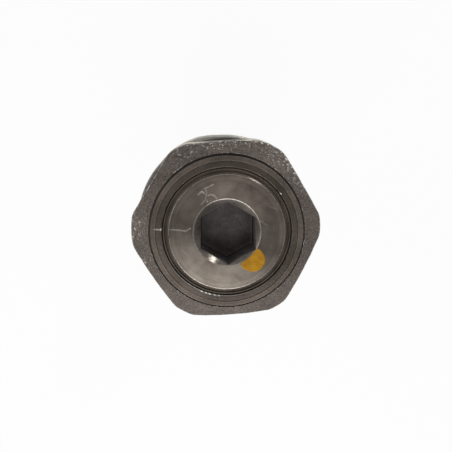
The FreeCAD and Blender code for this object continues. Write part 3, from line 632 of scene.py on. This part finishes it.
for mesh in (body_mesh, drill_mesh):
    for finish in (forged_skin, boss_finish, turned_finish, bore_finish, collar_finish):
        mesh.materials.append(finish)
drill_mesh.polygons.foreach_set("material_index", np.full(len(drill_mesh.polygons), BORE, np.int32))
body_mesh = cut_away("valve_body_blank", body_mesh, drills)
bpy.data.objects.remove(drills)
smoothed(body_mesh)
body_mesh.name = "valve_body_skin"
valve_body = placed("valve_body_skin", body_mesh)
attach(valve_body, "cartridge")
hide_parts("valve_body")


# Screw threads of the body and the plug. Both are cut at 2 mm a turn; here each thread is a ridge
# wound round the turned core, which fades out where the real cut runs out. The spiral is reversed
# so that the ridge is right-handed.
def new_node_tree(name, inputs):
    """A geometry tree with a geometry output and named number and material inputs."""
    tree = bpy.data.node_groups.new(name, "GeometryNodeTree")
    tree.interface.new_socket("Geometry", in_out="OUTPUT", socket_type="NodeSocketGeometry")
    sockets = {}
    for label, kind in inputs:
        item = tree.interface.new_socket(label, in_out="INPUT", socket_type=kind)
        sockets[label] = item.identifier
    return tree, sockets, tree.nodes.new("NodeGroupInput").outputs


def ended(tree, geometry, finish):
    """The end of a geometry tree: real geometry, in its material, as the tree's output."""
    real = put(tree, "GeometryNodeRealizeInstances", [("Geometry", geometry)])
    dressed = put(tree, "GeometryNodeSetMaterial", [
        ("Geometry", real.outputs[0]), ("Material", finish)])
    put(tree, "NodeGroupOutput", [(0, dressed.outputs[0])])


def grown(name, tree, sockets, values):
    """The plain mesh that a geometry tree gives for these values."""
    seed = bpy.data.objects.new(name, bpy.data.meshes.new(name))
    bpy.context.scene.collection.objects.link(seed)
    modifier = seed.modifiers.new("grow", "NODES")
    modifier.node_group = tree
    for label, value in values.items():
        modifier[sockets[label]] = value
    graph = bpy.context.evaluated_depsgraph_get()
    mesh = bpy.data.meshes.new_from_object(seed.evaluated_get(graph))
    seed.modifiers.remove(modifier)
    bpy.data.objects.remove(seed)
    smoothed(mesh, 30)
    return mesh


FLOAT = "NodeSocketFloat"
thread_tree, thread_sockets, given = new_node_tree("thread_ridge", [
    ("Root Radius", FLOAT), ("Ridge Height", FLOAT), ("Base Width", FLOAT), ("Crest Width", FLOAT),
    ("Pitch", FLOAT), ("Turns", FLOAT), ("Bottom", FLOAT), ("Run Out", FLOAT),
    ("Finish", "NodeSocketMaterial")])
tree = thread_tree
spiral = put(tree, "GeometryNodeCurveSpiral", [
    ("Rotations", given["Turns"]), ("Start Radius", given["Root Radius"]),
    ("End Radius", given["Root Radius"]),
    ("Height", maths(tree, "MULTIPLY", given["Pitch"], given["Turns"]))],
    Resolution=96, Reverse=True)
upright = put(tree, "GeometryNodeSetCurveNormal", [("Curve", spiral.outputs[0])], mode="Z_UP")
along = tree.nodes.new("GeometryNodeSplineParameter").outputs["Factor"]
from_end = maths(tree, "MINIMUM", along, maths(tree, "SUBTRACT", 1.0, along))
fade = maths(tree, "DIVIDE", given["Turns"], given["Run Out"])
run_out = maths(tree, "MULTIPLY", from_end, fade, clamp=True)
swelling = put(tree, "GeometryNodeSetCurveRadius", [
    ("Curve", upright.outputs[0]), ("Radius", run_out)])
section = put(tree, "GeometryNodeCurvePrimitiveQuadrilateral", mode="POINTS")
foot_depth = -0.0002  # the ridge's foot lies inside the core
section_corners = (("Base Width", -0.5), ("Crest Width", -0.5),
                   ("Crest Width", 0.5), ("Base Width", 0.5))
for number, (width, side) in enumerate(section_corners, start=1):
    across = maths(tree, "MULTIPLY", given[width], side)
    corner_spot = put(tree, "ShaderNodeCombineXYZ", [("Y", across)], X=foot_depth)
    if width == "Crest Width":
        tree.links.new(given["Ridge Height"], corner_spot.inputs["X"])
    tree.links.new(corner_spot.outputs[0], section.inputs[f"Point {number}"])
swept = put(tree, "GeometryNodeCurveToMesh", [
    ("Curve", swelling.outputs[0]), ("Profile Curve", section.outputs[0])], Fill_Caps=True)
lift = put(tree, "ShaderNodeCombineXYZ", [("Z", given["Bottom"])])
moved = put(tree, "GeometryNodeTransform", [
    ("Geometry", swept.outputs[0]), ("Translation", lift.outputs[0])])
ended(tree, moved.outputs[0], given["Finish"])


def thread_mesh(name, root, ridge, turns, bottom):
    """A thread's ridge, in millimetres, with the pitch and widths that both threads have."""
    return grown(name, thread_tree, thread_sockets, {
        "Root Radius": root * MM, "Ridge Height": ridge * MM, "Base Width": 1.86 * MM,
        "Crest Width": 0.28 * MM, "Pitch": 2.0 * MM, "Turns": turns, "Bottom": bottom * MM,
        "Run Out": 0.35, "Finish": turned_finish})


body_thread = placed("body_thread", thread_mesh("body_thread", 18.27, 1.23, 6.9, -18.0))
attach(body_thread, "cartridge")


# Adjusting plug. Turned bright from bar, faced with a fine feed that leaves close rings, with a
# broached hexagon socket. Its thread holds it in the body, flush with the boss.
SOCKET_ACROSS_FLATS = 14.0
SOCKET_OFF = (0.3, -0.35)
SINK_RADIUS = 8.6
PLUG_TOP = 20.0
SOCKET_FLOOR = 11.0
FACE, SOCKET, SHANK, BEVEL = range(4)
PLUG_SEGMENTS = 540
plug_turns = np.arange(PLUG_SEGMENTS) * 2 * math.pi / PLUG_SEGMENTS
SOCKET_BLEND = 0.12
key_radius = np.full(PLUG_SEGMENTS, SINK_RADIUS - 0.05)
for flat in range(6):
    facing = flat * math.pi / 3
    inset = (SOCKET_ACROSS_FLATS / 2 + SOCKET_OFF[0] * math.cos(facing)
             + SOCKET_OFF[1] * math.sin(facing))
    toward = np.maximum(np.cos(plug_turns - facing), 0.01)
    key_radius = soft_least(inset / toward, key_radius, SOCKET_BLEND)

# Marks of use on the face: long scratches, each given as points, a width and a strength
scratches = [
    ([(-14.6, 0.9), (-13.0, 0.75), (-10.6, 0.42), (-9.9, 0.75), (-9.3, 1.15)], 0.16, 1.0),
    ([(-7.3, 9.7), (-6.3, 10.5), (-5.7, 10.0)], 0.16, 1.0),
    ([(-5.6, 11.2), (-4.6, 11.6), (-3.5, 12.2)], 0.13, 0.9),
    ([(-5.5, 11.2), (-5.1, 10.1), (-5.5, 8.9), (-4.9, 7.8)], 0.13, 0.7),
    ([(-4.9, 9.4), (-4.1, 9.7), (-3.2, 9.4), (-2.6, 8.6)], 0.14, 0.9),
    ([(-6.5, 7.2), (-5.7, 8.2)], 0.12, 0.7),
    ([(-4.3, 8.1), (-3.7, 7.7)], 0.12, 0.6),
    ([(8.3, 3.1), (10.4, 1.6)], 0.10, 0.5),
    ([(-11.6, -4.4), (-9.8, -6.1)], 0.10, 0.4),
    ([(2.0, -12.2), (3.4, -13.4)], 0.10, 0.4),
    ([(10.6, 6.7), (12.4, 6.0)], 0.10, 0.4),
]


def scratch_depth(x, y):
    """How deep a spot on the plug's face lies in a scratch, from 0 to 1."""
    depth = np.zeros_like(x)
    for track, width, strength in scratches:
        for (ax, ay), (bx, by) in zip(track, track[1:]):
            run = np.array((bx - ax, by - ay))
            part = np.clip(((x - ax) * run[0] + (y - ay) * run[1]) / run.dot(run), 0, 1)
            gap = np.hypot(x - ax - part * run[0], y - ay - part * run[1])
            depth = np.maximum(depth, strength * np.clip(1.6 - gap / width, 0, 1))
    return depth


plug_rows = [(0.0, SOCKET_FLOOR, SOCKET, 0.0)]
plug_rows += [(key_radius * share, SOCKET_FLOOR, SOCKET, 0.0) for share in (0.3, 0.6, 0.85)]
fillet = 0.4
for step in range(4):
    turn = math.pi / 2 * step / 3
    plug_rows.append((key_radius - fillet + fillet * math.sin(turn),
                      SOCKET_FLOOR + fillet - fillet * math.cos(turn), SOCKET, 0.0))
plug_rows += [(key_radius, height, SOCKET, 0.0) for height in (13.0, 15.0, 17.0)]
mouth = PLUG_TOP - (SINK_RADIUS - key_radius)
sink_top = np.maximum(key_radius + 0.17, SINK_RADIUS - 0.14)
plug_rows += [
    (key_radius, mouth - 0.15, SOCKET, 0.3), (key_radius + 0.03, mouth - 0.03, SOCKET, 1.0),
    (key_radius + 0.1, mouth + 0.07, FACE, 1.0), (key_radius + 0.16, mouth + 0.16, FACE, 0.35),
    (sink_top, PLUG_TOP - SINK_RADIUS + sink_top, FACE, 0.35),
    (SINK_RADIUS - 0.07, PLUG_TOP - 0.07, FACE, 1.0), (SINK_RADIUS, PLUG_TOP - 0.02, FACE, 1.0),
    (SINK_RADIUS + 0.1, PLUG_TOP, FACE, 0.5)]
FACE_EDGE = 14.55
FACE_RINGS = 40
SCRATCH_DEPTH = 0.02
for radius in np.linspace(SINK_RADIUS + 0.2, FACE_EDGE, FACE_RINGS):
    depth = scratch_depth(radius * np.cos(plug_turns), radius * np.sin(plug_turns))
    plug_rows.append((radius, PLUG_TOP - SCRATCH_DEPTH * depth, FACE, depth))
plug_rows += eased([
    (14.6, 20.0), (14.8, 20.0, 0.1), (15.0, 19.8)], FACE)
plug_rows += eased([
    (15.02, 19.78), (15.4, 19.4, 0.1), (15.6, 19.12, 0.08), (15.75, 19.15, 0.08),
    (15.95, 19.5, 0.08), (16.3, 19.46, 0.08), (16.38, 19.3, 0.05), (16.4, 17.9)], BEVEL)
plug_rows += eased([
    (16.38, 17.88), (15.2, 17.3), (15.2, 12.0), (15.2, 7.6),
    (14.7, 7.0), (14.0, 7.0), (14.0, 5.0), (14.45, 4.5), (14.45, -1.5, 0.05),
    (12.2, -1.5), (12.2, -6.0), (14.45, -6.0, 0.05), (14.45, -8.0, 0.1),
    (13.45, -9.0, 0.1), (10.0, -9.0, 0.1), (10.0, 7.5), (0.0, 7.5)], SHANK)
plug_mesh = wound_mesh("adjusting_plug_skin", plug_rows, plug_turns, False)

# Faced steel: close rings, a long grey sheen that runs out from the middle, faint smears, and
# painted shading that darkens the face towards its upper side and lightens it towards the lower
faced_finish, tree, shader, spot = new_finish("faced_steel")
lathe, _ = lathe_spot(tree, spot)
streak = grain(tree, lathe, 3800.0, 3.0, 0.65)
ring_tone = grain(tree, lathe, 700.0, 2.0, 0.5)
fine = grain(tree, spot, 1600.0, 4.0, 0.6)
smear = grain(tree, spot, 150.0, 4.0, 0.55)
colour = tinted(tree, smear, [
    (0.30, (0.132, 0.107, 0.092)), (0.50, (0.200, 0.175, 0.150)), (0.70, (0.255, 0.228, 0.196))])
colour = toned(tree, colour, ring_tone, [(0.30, (0.84, 0.83, 0.82)), (0.70, (1.14, 1.14, 1.14))])
colour = toned(tree, colour, streak, [(0.30, (0.88, 0.87, 0.87)), (0.70, (1.13, 1.13, 1.12))])
# Painted shading: the face's colour runs darker towards +Y and lighter towards -Y
painted_shading_gradient = ranged(tree, parted(tree, spot)["Y"], -0.0145, 0.0145)
painted_shading_gradient = mixed(tree, painted_shading_gradient, (1.12, 1.12, 1.12), (0.70, 0.68, 0.67))
colour = mixed(tree, 1.0, colour, painted_shading_gradient, "MULTIPLY")
patchy = maths(tree, "MULTIPLY", maths(tree, "SUBTRACT", fine, 0.30), 4.0, clamp=True)
scratched = maths(tree, "MULTIPLY", wear_of(tree), patchy)
scratched = maths(tree, "MULTIPLY", scratched, 0.75, clamp=True)
colour = mixed(tree, scratched, colour, (0.50, 0.46, 0.42))
coated(tree, shader, colour, 0.95, smear, 0.20, 0.21)
shader.inputs["Anisotropic"].default_value = 0.8
shader.inputs["Anisotropic Rotation"].default_value = 0.25
round_axis = put(tree, "ShaderNodeTangent", direction_type="RADIAL", axis="Z")
tree.links.new(round_axis.outputs[0], shader.inputs["Tangent"])
raised(tree, shader, maths(tree, "ADD", streak, maths(tree, "MULTIPLY", fine, 0.3)), 0.00002, 0.6)

# Bevel round the face: turned bright and browned by oil, with painted shade that darkens it
# outwards, towards the gap
bevel_finish, tree, shader, spot = new_finish("oiled_bevel")
lathe, radius = lathe_spot(tree, spot)
streak = grain(tree, lathe, 3000.0, 3.0, 0.6)
blotch = grain(tree, spot, 220.0, 3.0, 0.5)
colour = tinted(tree, blotch, [(0.35, (0.140, 0.114, 0.092)), (0.65, (0.205, 0.172, 0.142))])
colour = toned(tree, colour, streak, [(0.30, (0.82, 0.81, 0.80)), (0.70, (1.15, 1.15, 1.15))])
# Painted shade: darker towards the bevel's outer edge, by the gap to the bore
painted_gap_shade = mixed(tree, 1.0, colour, (0.46, 0.44, 0.41), "MULTIPLY")
colour = mixed(tree, ranged(tree, radius, 0.0152, 0.0157), colour, painted_gap_shade)
coated(tree, shader, colour, 0.6, blotch, 0.3, 0.3)
raised(tree, shader, streak, 0.00003, 0.6)

# Socket walls: broached, dark with oil and dust, and darker still at the floor
socket_finish, tree, shader, spot = new_finish("oiled_socket")
fine = grain(tree, spot, 1200.0, 5.0, 0.65)
blotch = grain(tree, spot, 260.0, 3.0, 0.5)
down = put(tree, "ShaderNodeMapping", [("Vector", spot)], Scale=(3000, 3000, 120))
drag = grain(tree, down.outputs[0], 1.0, 2.0, 0.5)
colour = tinted(tree, blotch, [(0.35, (0.150, 0.140, 0.136)), (0.65, (0.255, 0.238, 0.230))])
colour = toned(tree, colour, fine, [(0.30, (0.75, 0.75, 0.75)), (0.70, (1.3, 1.28, 1.26))])
# The socket's floor is coloured darker than its walls
floor_share = ranged(tree, parted(tree, spot)["Z"], 0.0113, 0.0118, 1.0, 0.0)
darker_floor_colour = mixed(tree, 1.0, colour, (0.31, 0.28, 0.285), "MULTIPLY")
colour = mixed(tree, floor_share, colour, darker_floor_colour)
colour = edged(tree, spot, colour, 0.5, (0.20, 0.18, 0.16))
coated(tree, shader, colour, 0.7, fine, 0.25, 0.35)
raised(tree, shader, maths(tree, "ADD", drag, maths(tree, "MULTIPLY", fine, 0.6)), 0.00006, 0.7)

plug = placed("adjusting_plug_skin", plug_mesh,
              faced_finish, socket_finish, turned_finish, bevel_finish)
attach(plug, "plug")
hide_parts("adjusting_plug")

plug_thread = placed("plug_thread", thread_mesh("plug_thread", 15.2, 1.2, 4.8, 8.0))
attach(plug_thread, "plug")


# Paint mark. A dab of yellow marking paint, brushed on the plug's face beside the countersink
# after the valve was set. It has a raised rim and thins where the brush left.
DAB_CENTRE = (6.9, -7.5)
dab_outline = [(7.75, -4.23), (9.50, -5.96), (9.72, -7.70), (8.79, -9.45), (7.40, -10.14),
               (6.03, -10.21), (4.28, -9.45), (3.60, -8.06), (5.68, -6.31)]
DAB_SIDES = 96
dab_edge = []
corner_count = len(dab_outline)
for i in range(DAB_SIDES):
    place = i / DAB_SIDES * corner_count
    first = int(place)
    part = place - first
    a, b, c, d = (np.array(dab_outline[(first + k) % corner_count]) for k in (-1, 0, 1, 2))
    dab_edge.append(0.5 * (2 * b + (c - a) * part + (2 * a - 5 * b + 4 * c - d) * part ** 2
                           + (3 * b - a - 3 * c + d) * part ** 3))
dab_points = []
dab_faces = []
THICKNESS, UNEVENNESS, RIM_HEIGHT, SUNK, ABOVE_SINK = 0.045, 0.03, 0.04, 0.06, 0.08
RIM_SHARE = 0.9
dab_rings = 14
for under in (False, True):
    for ring in range(dab_rings):
        share = (ring + 1) / dab_rings
        for x, y in dab_edge:
            px = DAB_CENTRE[0] + (x - DAB_CENTRE[0]) * share
            py = DAB_CENTRE[1] + (y - DAB_CENTRE[1]) * share
            away = math.hypot(px, py)
            ground = PLUG_TOP - max(0.0, SINK_RADIUS + ABOVE_SINK - away)
            uneven = noise.fractal(Vector((px * 0.9, py * 0.9, 4.0)), 1.0, 2.0, 3)
            thick = THICKNESS + UNEVENNESS * uneven
            thick += RIM_HEIGHT * math.exp(-((share - RIM_SHARE) / 0.07) ** 2)
            thick *= 1 - max(0.0, (share - RIM_SHARE) / 0.1) ** 2
            height = ground - SUNK if under else ground + max(0.0, thick)
            dab_points.append((px * MM, py * MM, height * MM))
layer = dab_rings * DAB_SIDES
for under in (0, layer):
    for ring in range(dab_rings - 1):
        for i in range(DAB_SIDES):
            j = (i + 1) % DAB_SIDES
            a = under + ring * DAB_SIDES
            b = a + DAB_SIDES
            face = (a + i, b + i, b + j, a + j)
            dab_faces.append(face if not under else face[::-1])
rim = (dab_rings - 1) * DAB_SIDES
for i in range(DAB_SIDES):
    j = (i + 1) % DAB_SIDES
    dab_faces.append((rim + i, layer + rim + i, layer + rim + j, rim + j))
for under in (0, layer):
    middle = len(dab_points)
    ring = np.array(dab_points[under:under + DAB_SIDES]).mean(0)
    dab_points.append(tuple(ring))
    for i in range(DAB_SIDES):
        j = (i + 1) % DAB_SIDES
        face = (middle, under + i, under + j)
        dab_faces.append(face if not under else face[::-1])
dab_mesh = bpy.data.meshes.new("paint_mark")
dab_mesh.from_pydata(dab_points, [], [tuple(reversed(face)) for face in dab_faces])
dab_mesh.update()
if sum(p.normal.z * p.area for p in dab_mesh.polygons[:layer // 2]) < 0:
    dab_mesh.flip_normals()
dab_mesh.shade_smooth()

paint_finish, tree, shader, spot = new_finish("marking_paint")
brush = put(tree, "ShaderNodeMapping", [("Vector", spot)],
            Rotation=(0, 0, 0.7), Scale=(500, 1800, 500))
drag = grain(tree, brush.outputs[0], 1.0, 3.0, 0.5)
blotch = grain(tree, spot, 420.0, 3.0, 0.5)
colour = tinted(tree, blotch, [
    (0.30, (0.30, 0.138, 0.002)), (0.52, (0.39, 0.185, 0.002)), (0.72, (0.45, 0.225, 0.003))])
colour = toned(tree, colour, drag, [(0.30, (0.90, 0.88, 0.86)), (0.70, (1.08, 1.08, 1.06))])
tree.links.new(colour, shader.inputs["Base Color"])
shader.inputs["Roughness"].default_value = 0.45
shader.inputs["Specular IOR Level"].default_value = 0.2
raised(tree, shader, maths(tree, "ADD", drag, blotch), 0.00005, 0.6)
paint_mark = placed("paint_mark", dab_mesh, paint_finish)
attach(paint_mark, "plug")


# Rubber rings and plastic backup rings. Moulded black nitrile, dull with a faint bloom, and
# off-white filled plastic cut through once so that each ring can be sprung into its groove.
rubber_finish, tree, shader, spot = new_finish("nitrile_rubber")
fine = grain(tree, spot, 1500.0, 4.0, 0.6)
bloom = grain(tree, spot, 180.0, 3.0, 0.5)
colour = tinted(tree, bloom, [(0.35, (0.010, 0.010, 0.011)), (0.70, (0.026, 0.025, 0.025))])
coated(tree, shader, colour, 0.0, fine, 0.25, 0.42)
shader.inputs["Specular IOR Level"].default_value = 0.4
raised(tree, shader, fine, 0.00004, 0.5)

plastic_finish, tree, shader, spot = new_finish("backup_plastic")
lathe, _ = lathe_spot(tree, spot)
streak = grain(tree, lathe, 2600.0, 3.0, 0.6)
stain = grain(tree, spot, 220.0, 4.0, 0.6)
colour = tinted(tree, stain, [(0.35, (0.42, 0.37, 0.29)), (0.65, (0.62, 0.58, 0.50))])
colour = toned(tree, colour, streak, [(0.30, (0.90, 0.90, 0.90)), (0.70, (1.05, 1.05, 1.05))])
coated(tree, shader, colour, 0.0, stain, 0.2, 0.38)
shader.inputs["Subsurface Weight"].default_value = 0.05
shader.inputs["Subsurface Scale"].default_value = 0.0005
raised(tree, shader, streak, 0.00004, 0.5)


def refinished(name, finish):
    """A CAD node kept as it is, with its own finish in every material slot."""
    mesh = nodes[name].data
    mesh.materials.clear()
    mesh.materials.append(finish)


for name in ("collar_o_ring", "nose_o_ring", "plug_o_ring", "liner_o_ring"):
    refinished(name, rubber_finish)
for name in ("plug_backup_ring", "nose_backup_ring_upper", "nose_backup_ring_lower",
             "piston_seal_ring"):
    refinished(name, plastic_finish)


# Seat sleeve, poppet, liner and damping piston. Hardened and ground steel, brighter than the
# body, with the fine rings of the grinding wheel and a thin film of oil.
ground_finish, tree, shader, spot = new_finish("ground_steel")
lathe, _ = lathe_spot(tree, spot)
streak = grain(tree, lathe, 5200.0, 3.0, 0.6)
bands = grain(tree, lathe, 420.0, 2.0, 0.5)
film = grain(tree, spot, 120.0, 4.0, 0.55)
colour = tinted(tree, film, [(0.32, (0.205, 0.190, 0.172)), (0.66, (0.310, 0.300, 0.288))])
colour = toned(tree, colour, bands, [(0.30, (0.88, 0.88, 0.88)), (0.70, (1.12, 1.12, 1.12))])
colour = toned(tree, colour, streak, [(0.30, (0.90, 0.90, 0.90)), (0.70, (1.10, 1.10, 1.10))])
coated(tree, shader, colour, 1.0, film, 0.24, 0.16)
raised(tree, shader, streak, 0.00002, 0.6)
for name in ("seat_sleeve", "poppet", "orifice_screw", "piston_liner", "damping_piston",
             "spring_seat_upper", "spring_seat_lower", "shim_thick", "shim_thin"):
    refinished(name, ground_finish)


# Snap ring. Round spring wire, bent to a ring that springs into the skirt and holds the seat
# sleeve; blued by its heat treatment.
wire_finish, tree, shader, spot = new_finish("blued_wire")
fine = grain(tree, spot, 1700.0, 4.0, 0.6)
heat = grain(tree, spot, 140.0, 3.0, 0.5)
colour = tinted(tree, heat, [(0.35, (0.052, 0.050, 0.052)), (0.65, (0.115, 0.108, 0.104))])
colour = toned(tree, colour, fine, [(0.30, (0.80, 0.80, 0.80)), (0.70, (1.2, 1.2, 1.2))])
coated(tree, shader, colour, 1.0, fine, 0.2, 0.24)
raised(tree, shader, fine, 0.00003, 0.5)
refinished("seat_snap_ring", wire_finish)


# Relief spring. Cold-wound from round wire, one turn closed at each end and both ends ground
# flat. It shortens from below as the poppet lifts, and from above as the damping piston moves.
SPRING_BOTTOM = -36.6
SPRING_TOP = -10.6
coil_tree, coil_sockets, given = new_node_tree("spring_coil", [
    ("Mean Radius", FLOAT), ("Wire Radius", FLOAT), ("Turns", FLOAT), ("Closed Share", FLOAT),
    ("Closed Pitch", FLOAT), ("Bottom", FLOAT), ("Top", FLOAT), ("Finish", "NodeSocketMaterial")])
tree = coil_tree
line = put(tree, "GeometryNodeCurvePrimitiveLine", End=(0, 0, 1))
stepped = put(tree, "GeometryNodeResampleCurve", [("Curve", line.outputs[0])], Count=361)
along = tree.nodes.new("GeometryNodeSplineParameter").outputs["Factor"]
turned_by = maths(tree, "MULTIPLY", maths(tree, "MULTIPLY", along, given["Turns"]), 2 * math.pi)
open_share = put(tree, "ShaderNodeMapRange", [
    ("Value", along), ("From Min", given["Closed Share"]),
    ("From Max", maths(tree, "SUBTRACT", 1.0, given["Closed Share"]))],
    interpolation_type="SMOOTHSTEP")
run = maths(tree, "SUBTRACT", given["Top"], given["Bottom"])
closed_run = maths(tree, "MULTIPLY", given["Closed Pitch"], given["Turns"])
open_run = maths(tree, "SUBTRACT", run, closed_run)
rise = maths(tree, "ADD", maths(tree, "MULTIPLY", along, closed_run),
             maths(tree, "MULTIPLY", open_share.outputs[0], open_run))
helix = put(tree, "ShaderNodeCombineXYZ", [
    ("X", maths(tree, "MULTIPLY", maths(tree, "COSINE", turned_by), given["Mean Radius"])),
    ("Y", maths(tree, "MULTIPLY", maths(tree, "SINE", turned_by), given["Mean Radius"])),
    ("Z", maths(tree, "ADD", rise, given["Bottom"]))])
bent = put(tree, "GeometryNodeSetPosition", [
    ("Geometry", stepped.outputs[0]), ("Position", helix.outputs[0])])
round_wire = put(tree, "GeometryNodeCurvePrimitiveCircle", [("Radius", given["Wire Radius"])],
                   Resolution=20)
coil = put(tree, "GeometryNodeCurveToMesh", [
    ("Curve", bent.outputs[0]), ("Profile Curve", round_wire.outputs[0])], Fill_Caps=True)
where = parted(tree, tree.nodes.new("GeometryNodeInputPosition").outputs[0])
ground_height = maths(tree, "MAXIMUM", where["Z"], given["Bottom"])
ground_height = maths(tree, "MINIMUM", ground_height, given["Top"])
ground_spot = put(tree, "ShaderNodeCombineXYZ", [
    ("X", where["X"]), ("Y", where["Y"]), ("Z", ground_height)])
ground_flat = put(tree, "GeometryNodeSetPosition", [
    ("Geometry", coil.outputs[0]), ("Position", ground_spot.outputs[0])])
ended(tree, ground_flat.outputs[0], given["Finish"])

spring_mesh = grown("relief_spring_coil", coil_tree, coil_sockets, {
    "Mean Radius": 8.2 * MM, "Wire Radius": 1.6 * MM, "Turns": 6.0, "Closed Share": 0.16,
    "Closed Pitch": 3.264 * MM, "Bottom": SPRING_BOTTOM * MM, "Top": SPRING_TOP * MM,
    "Finish": wire_finish})

# The coil is cut at half height into an upper and a lower half, and the two cut faces stay
# together; both halves are attached to the cartridge
SPRING_MIDDLE = (SPRING_TOP + SPRING_BOTTOM) / 2
halves = (("upper", "damping_piston_stroke", 2.5, 1.0), ("lower", "poppet_lift", 3.0, -1.0))
for half, joint, travel, side in halves:
    half_mesh = spring_mesh.copy()
    half_mesh.name = "relief_spring_coil_" + half
    shape = bmesh.new()
    shape.from_mesh(half_mesh)
    cut = bmesh.ops.bisect_plane(
        shape, geom=shape.verts[:] + shape.edges[:] + shape.faces[:], dist=1e-7,
        plane_co=(0, 0, SPRING_MIDDLE * MM), plane_no=(0, 0, -side), clear_outer=True)
    rim = [part for part in cut["geom_cut"] if isinstance(part, bmesh.types.BMEdge)]
    filled = bmesh.ops.holes_fill(shape, edges=rim, sides=0)["faces"]
    bmesh.ops.triangulate(shape, faces=filled)
    shape.to_mesh(half_mesh)
    shape.free()
    spring = placed("relief_spring_coil_" + half, half_mesh)
    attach(spring, "cartridge")
    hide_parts("relief_spring")
    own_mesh(spring)
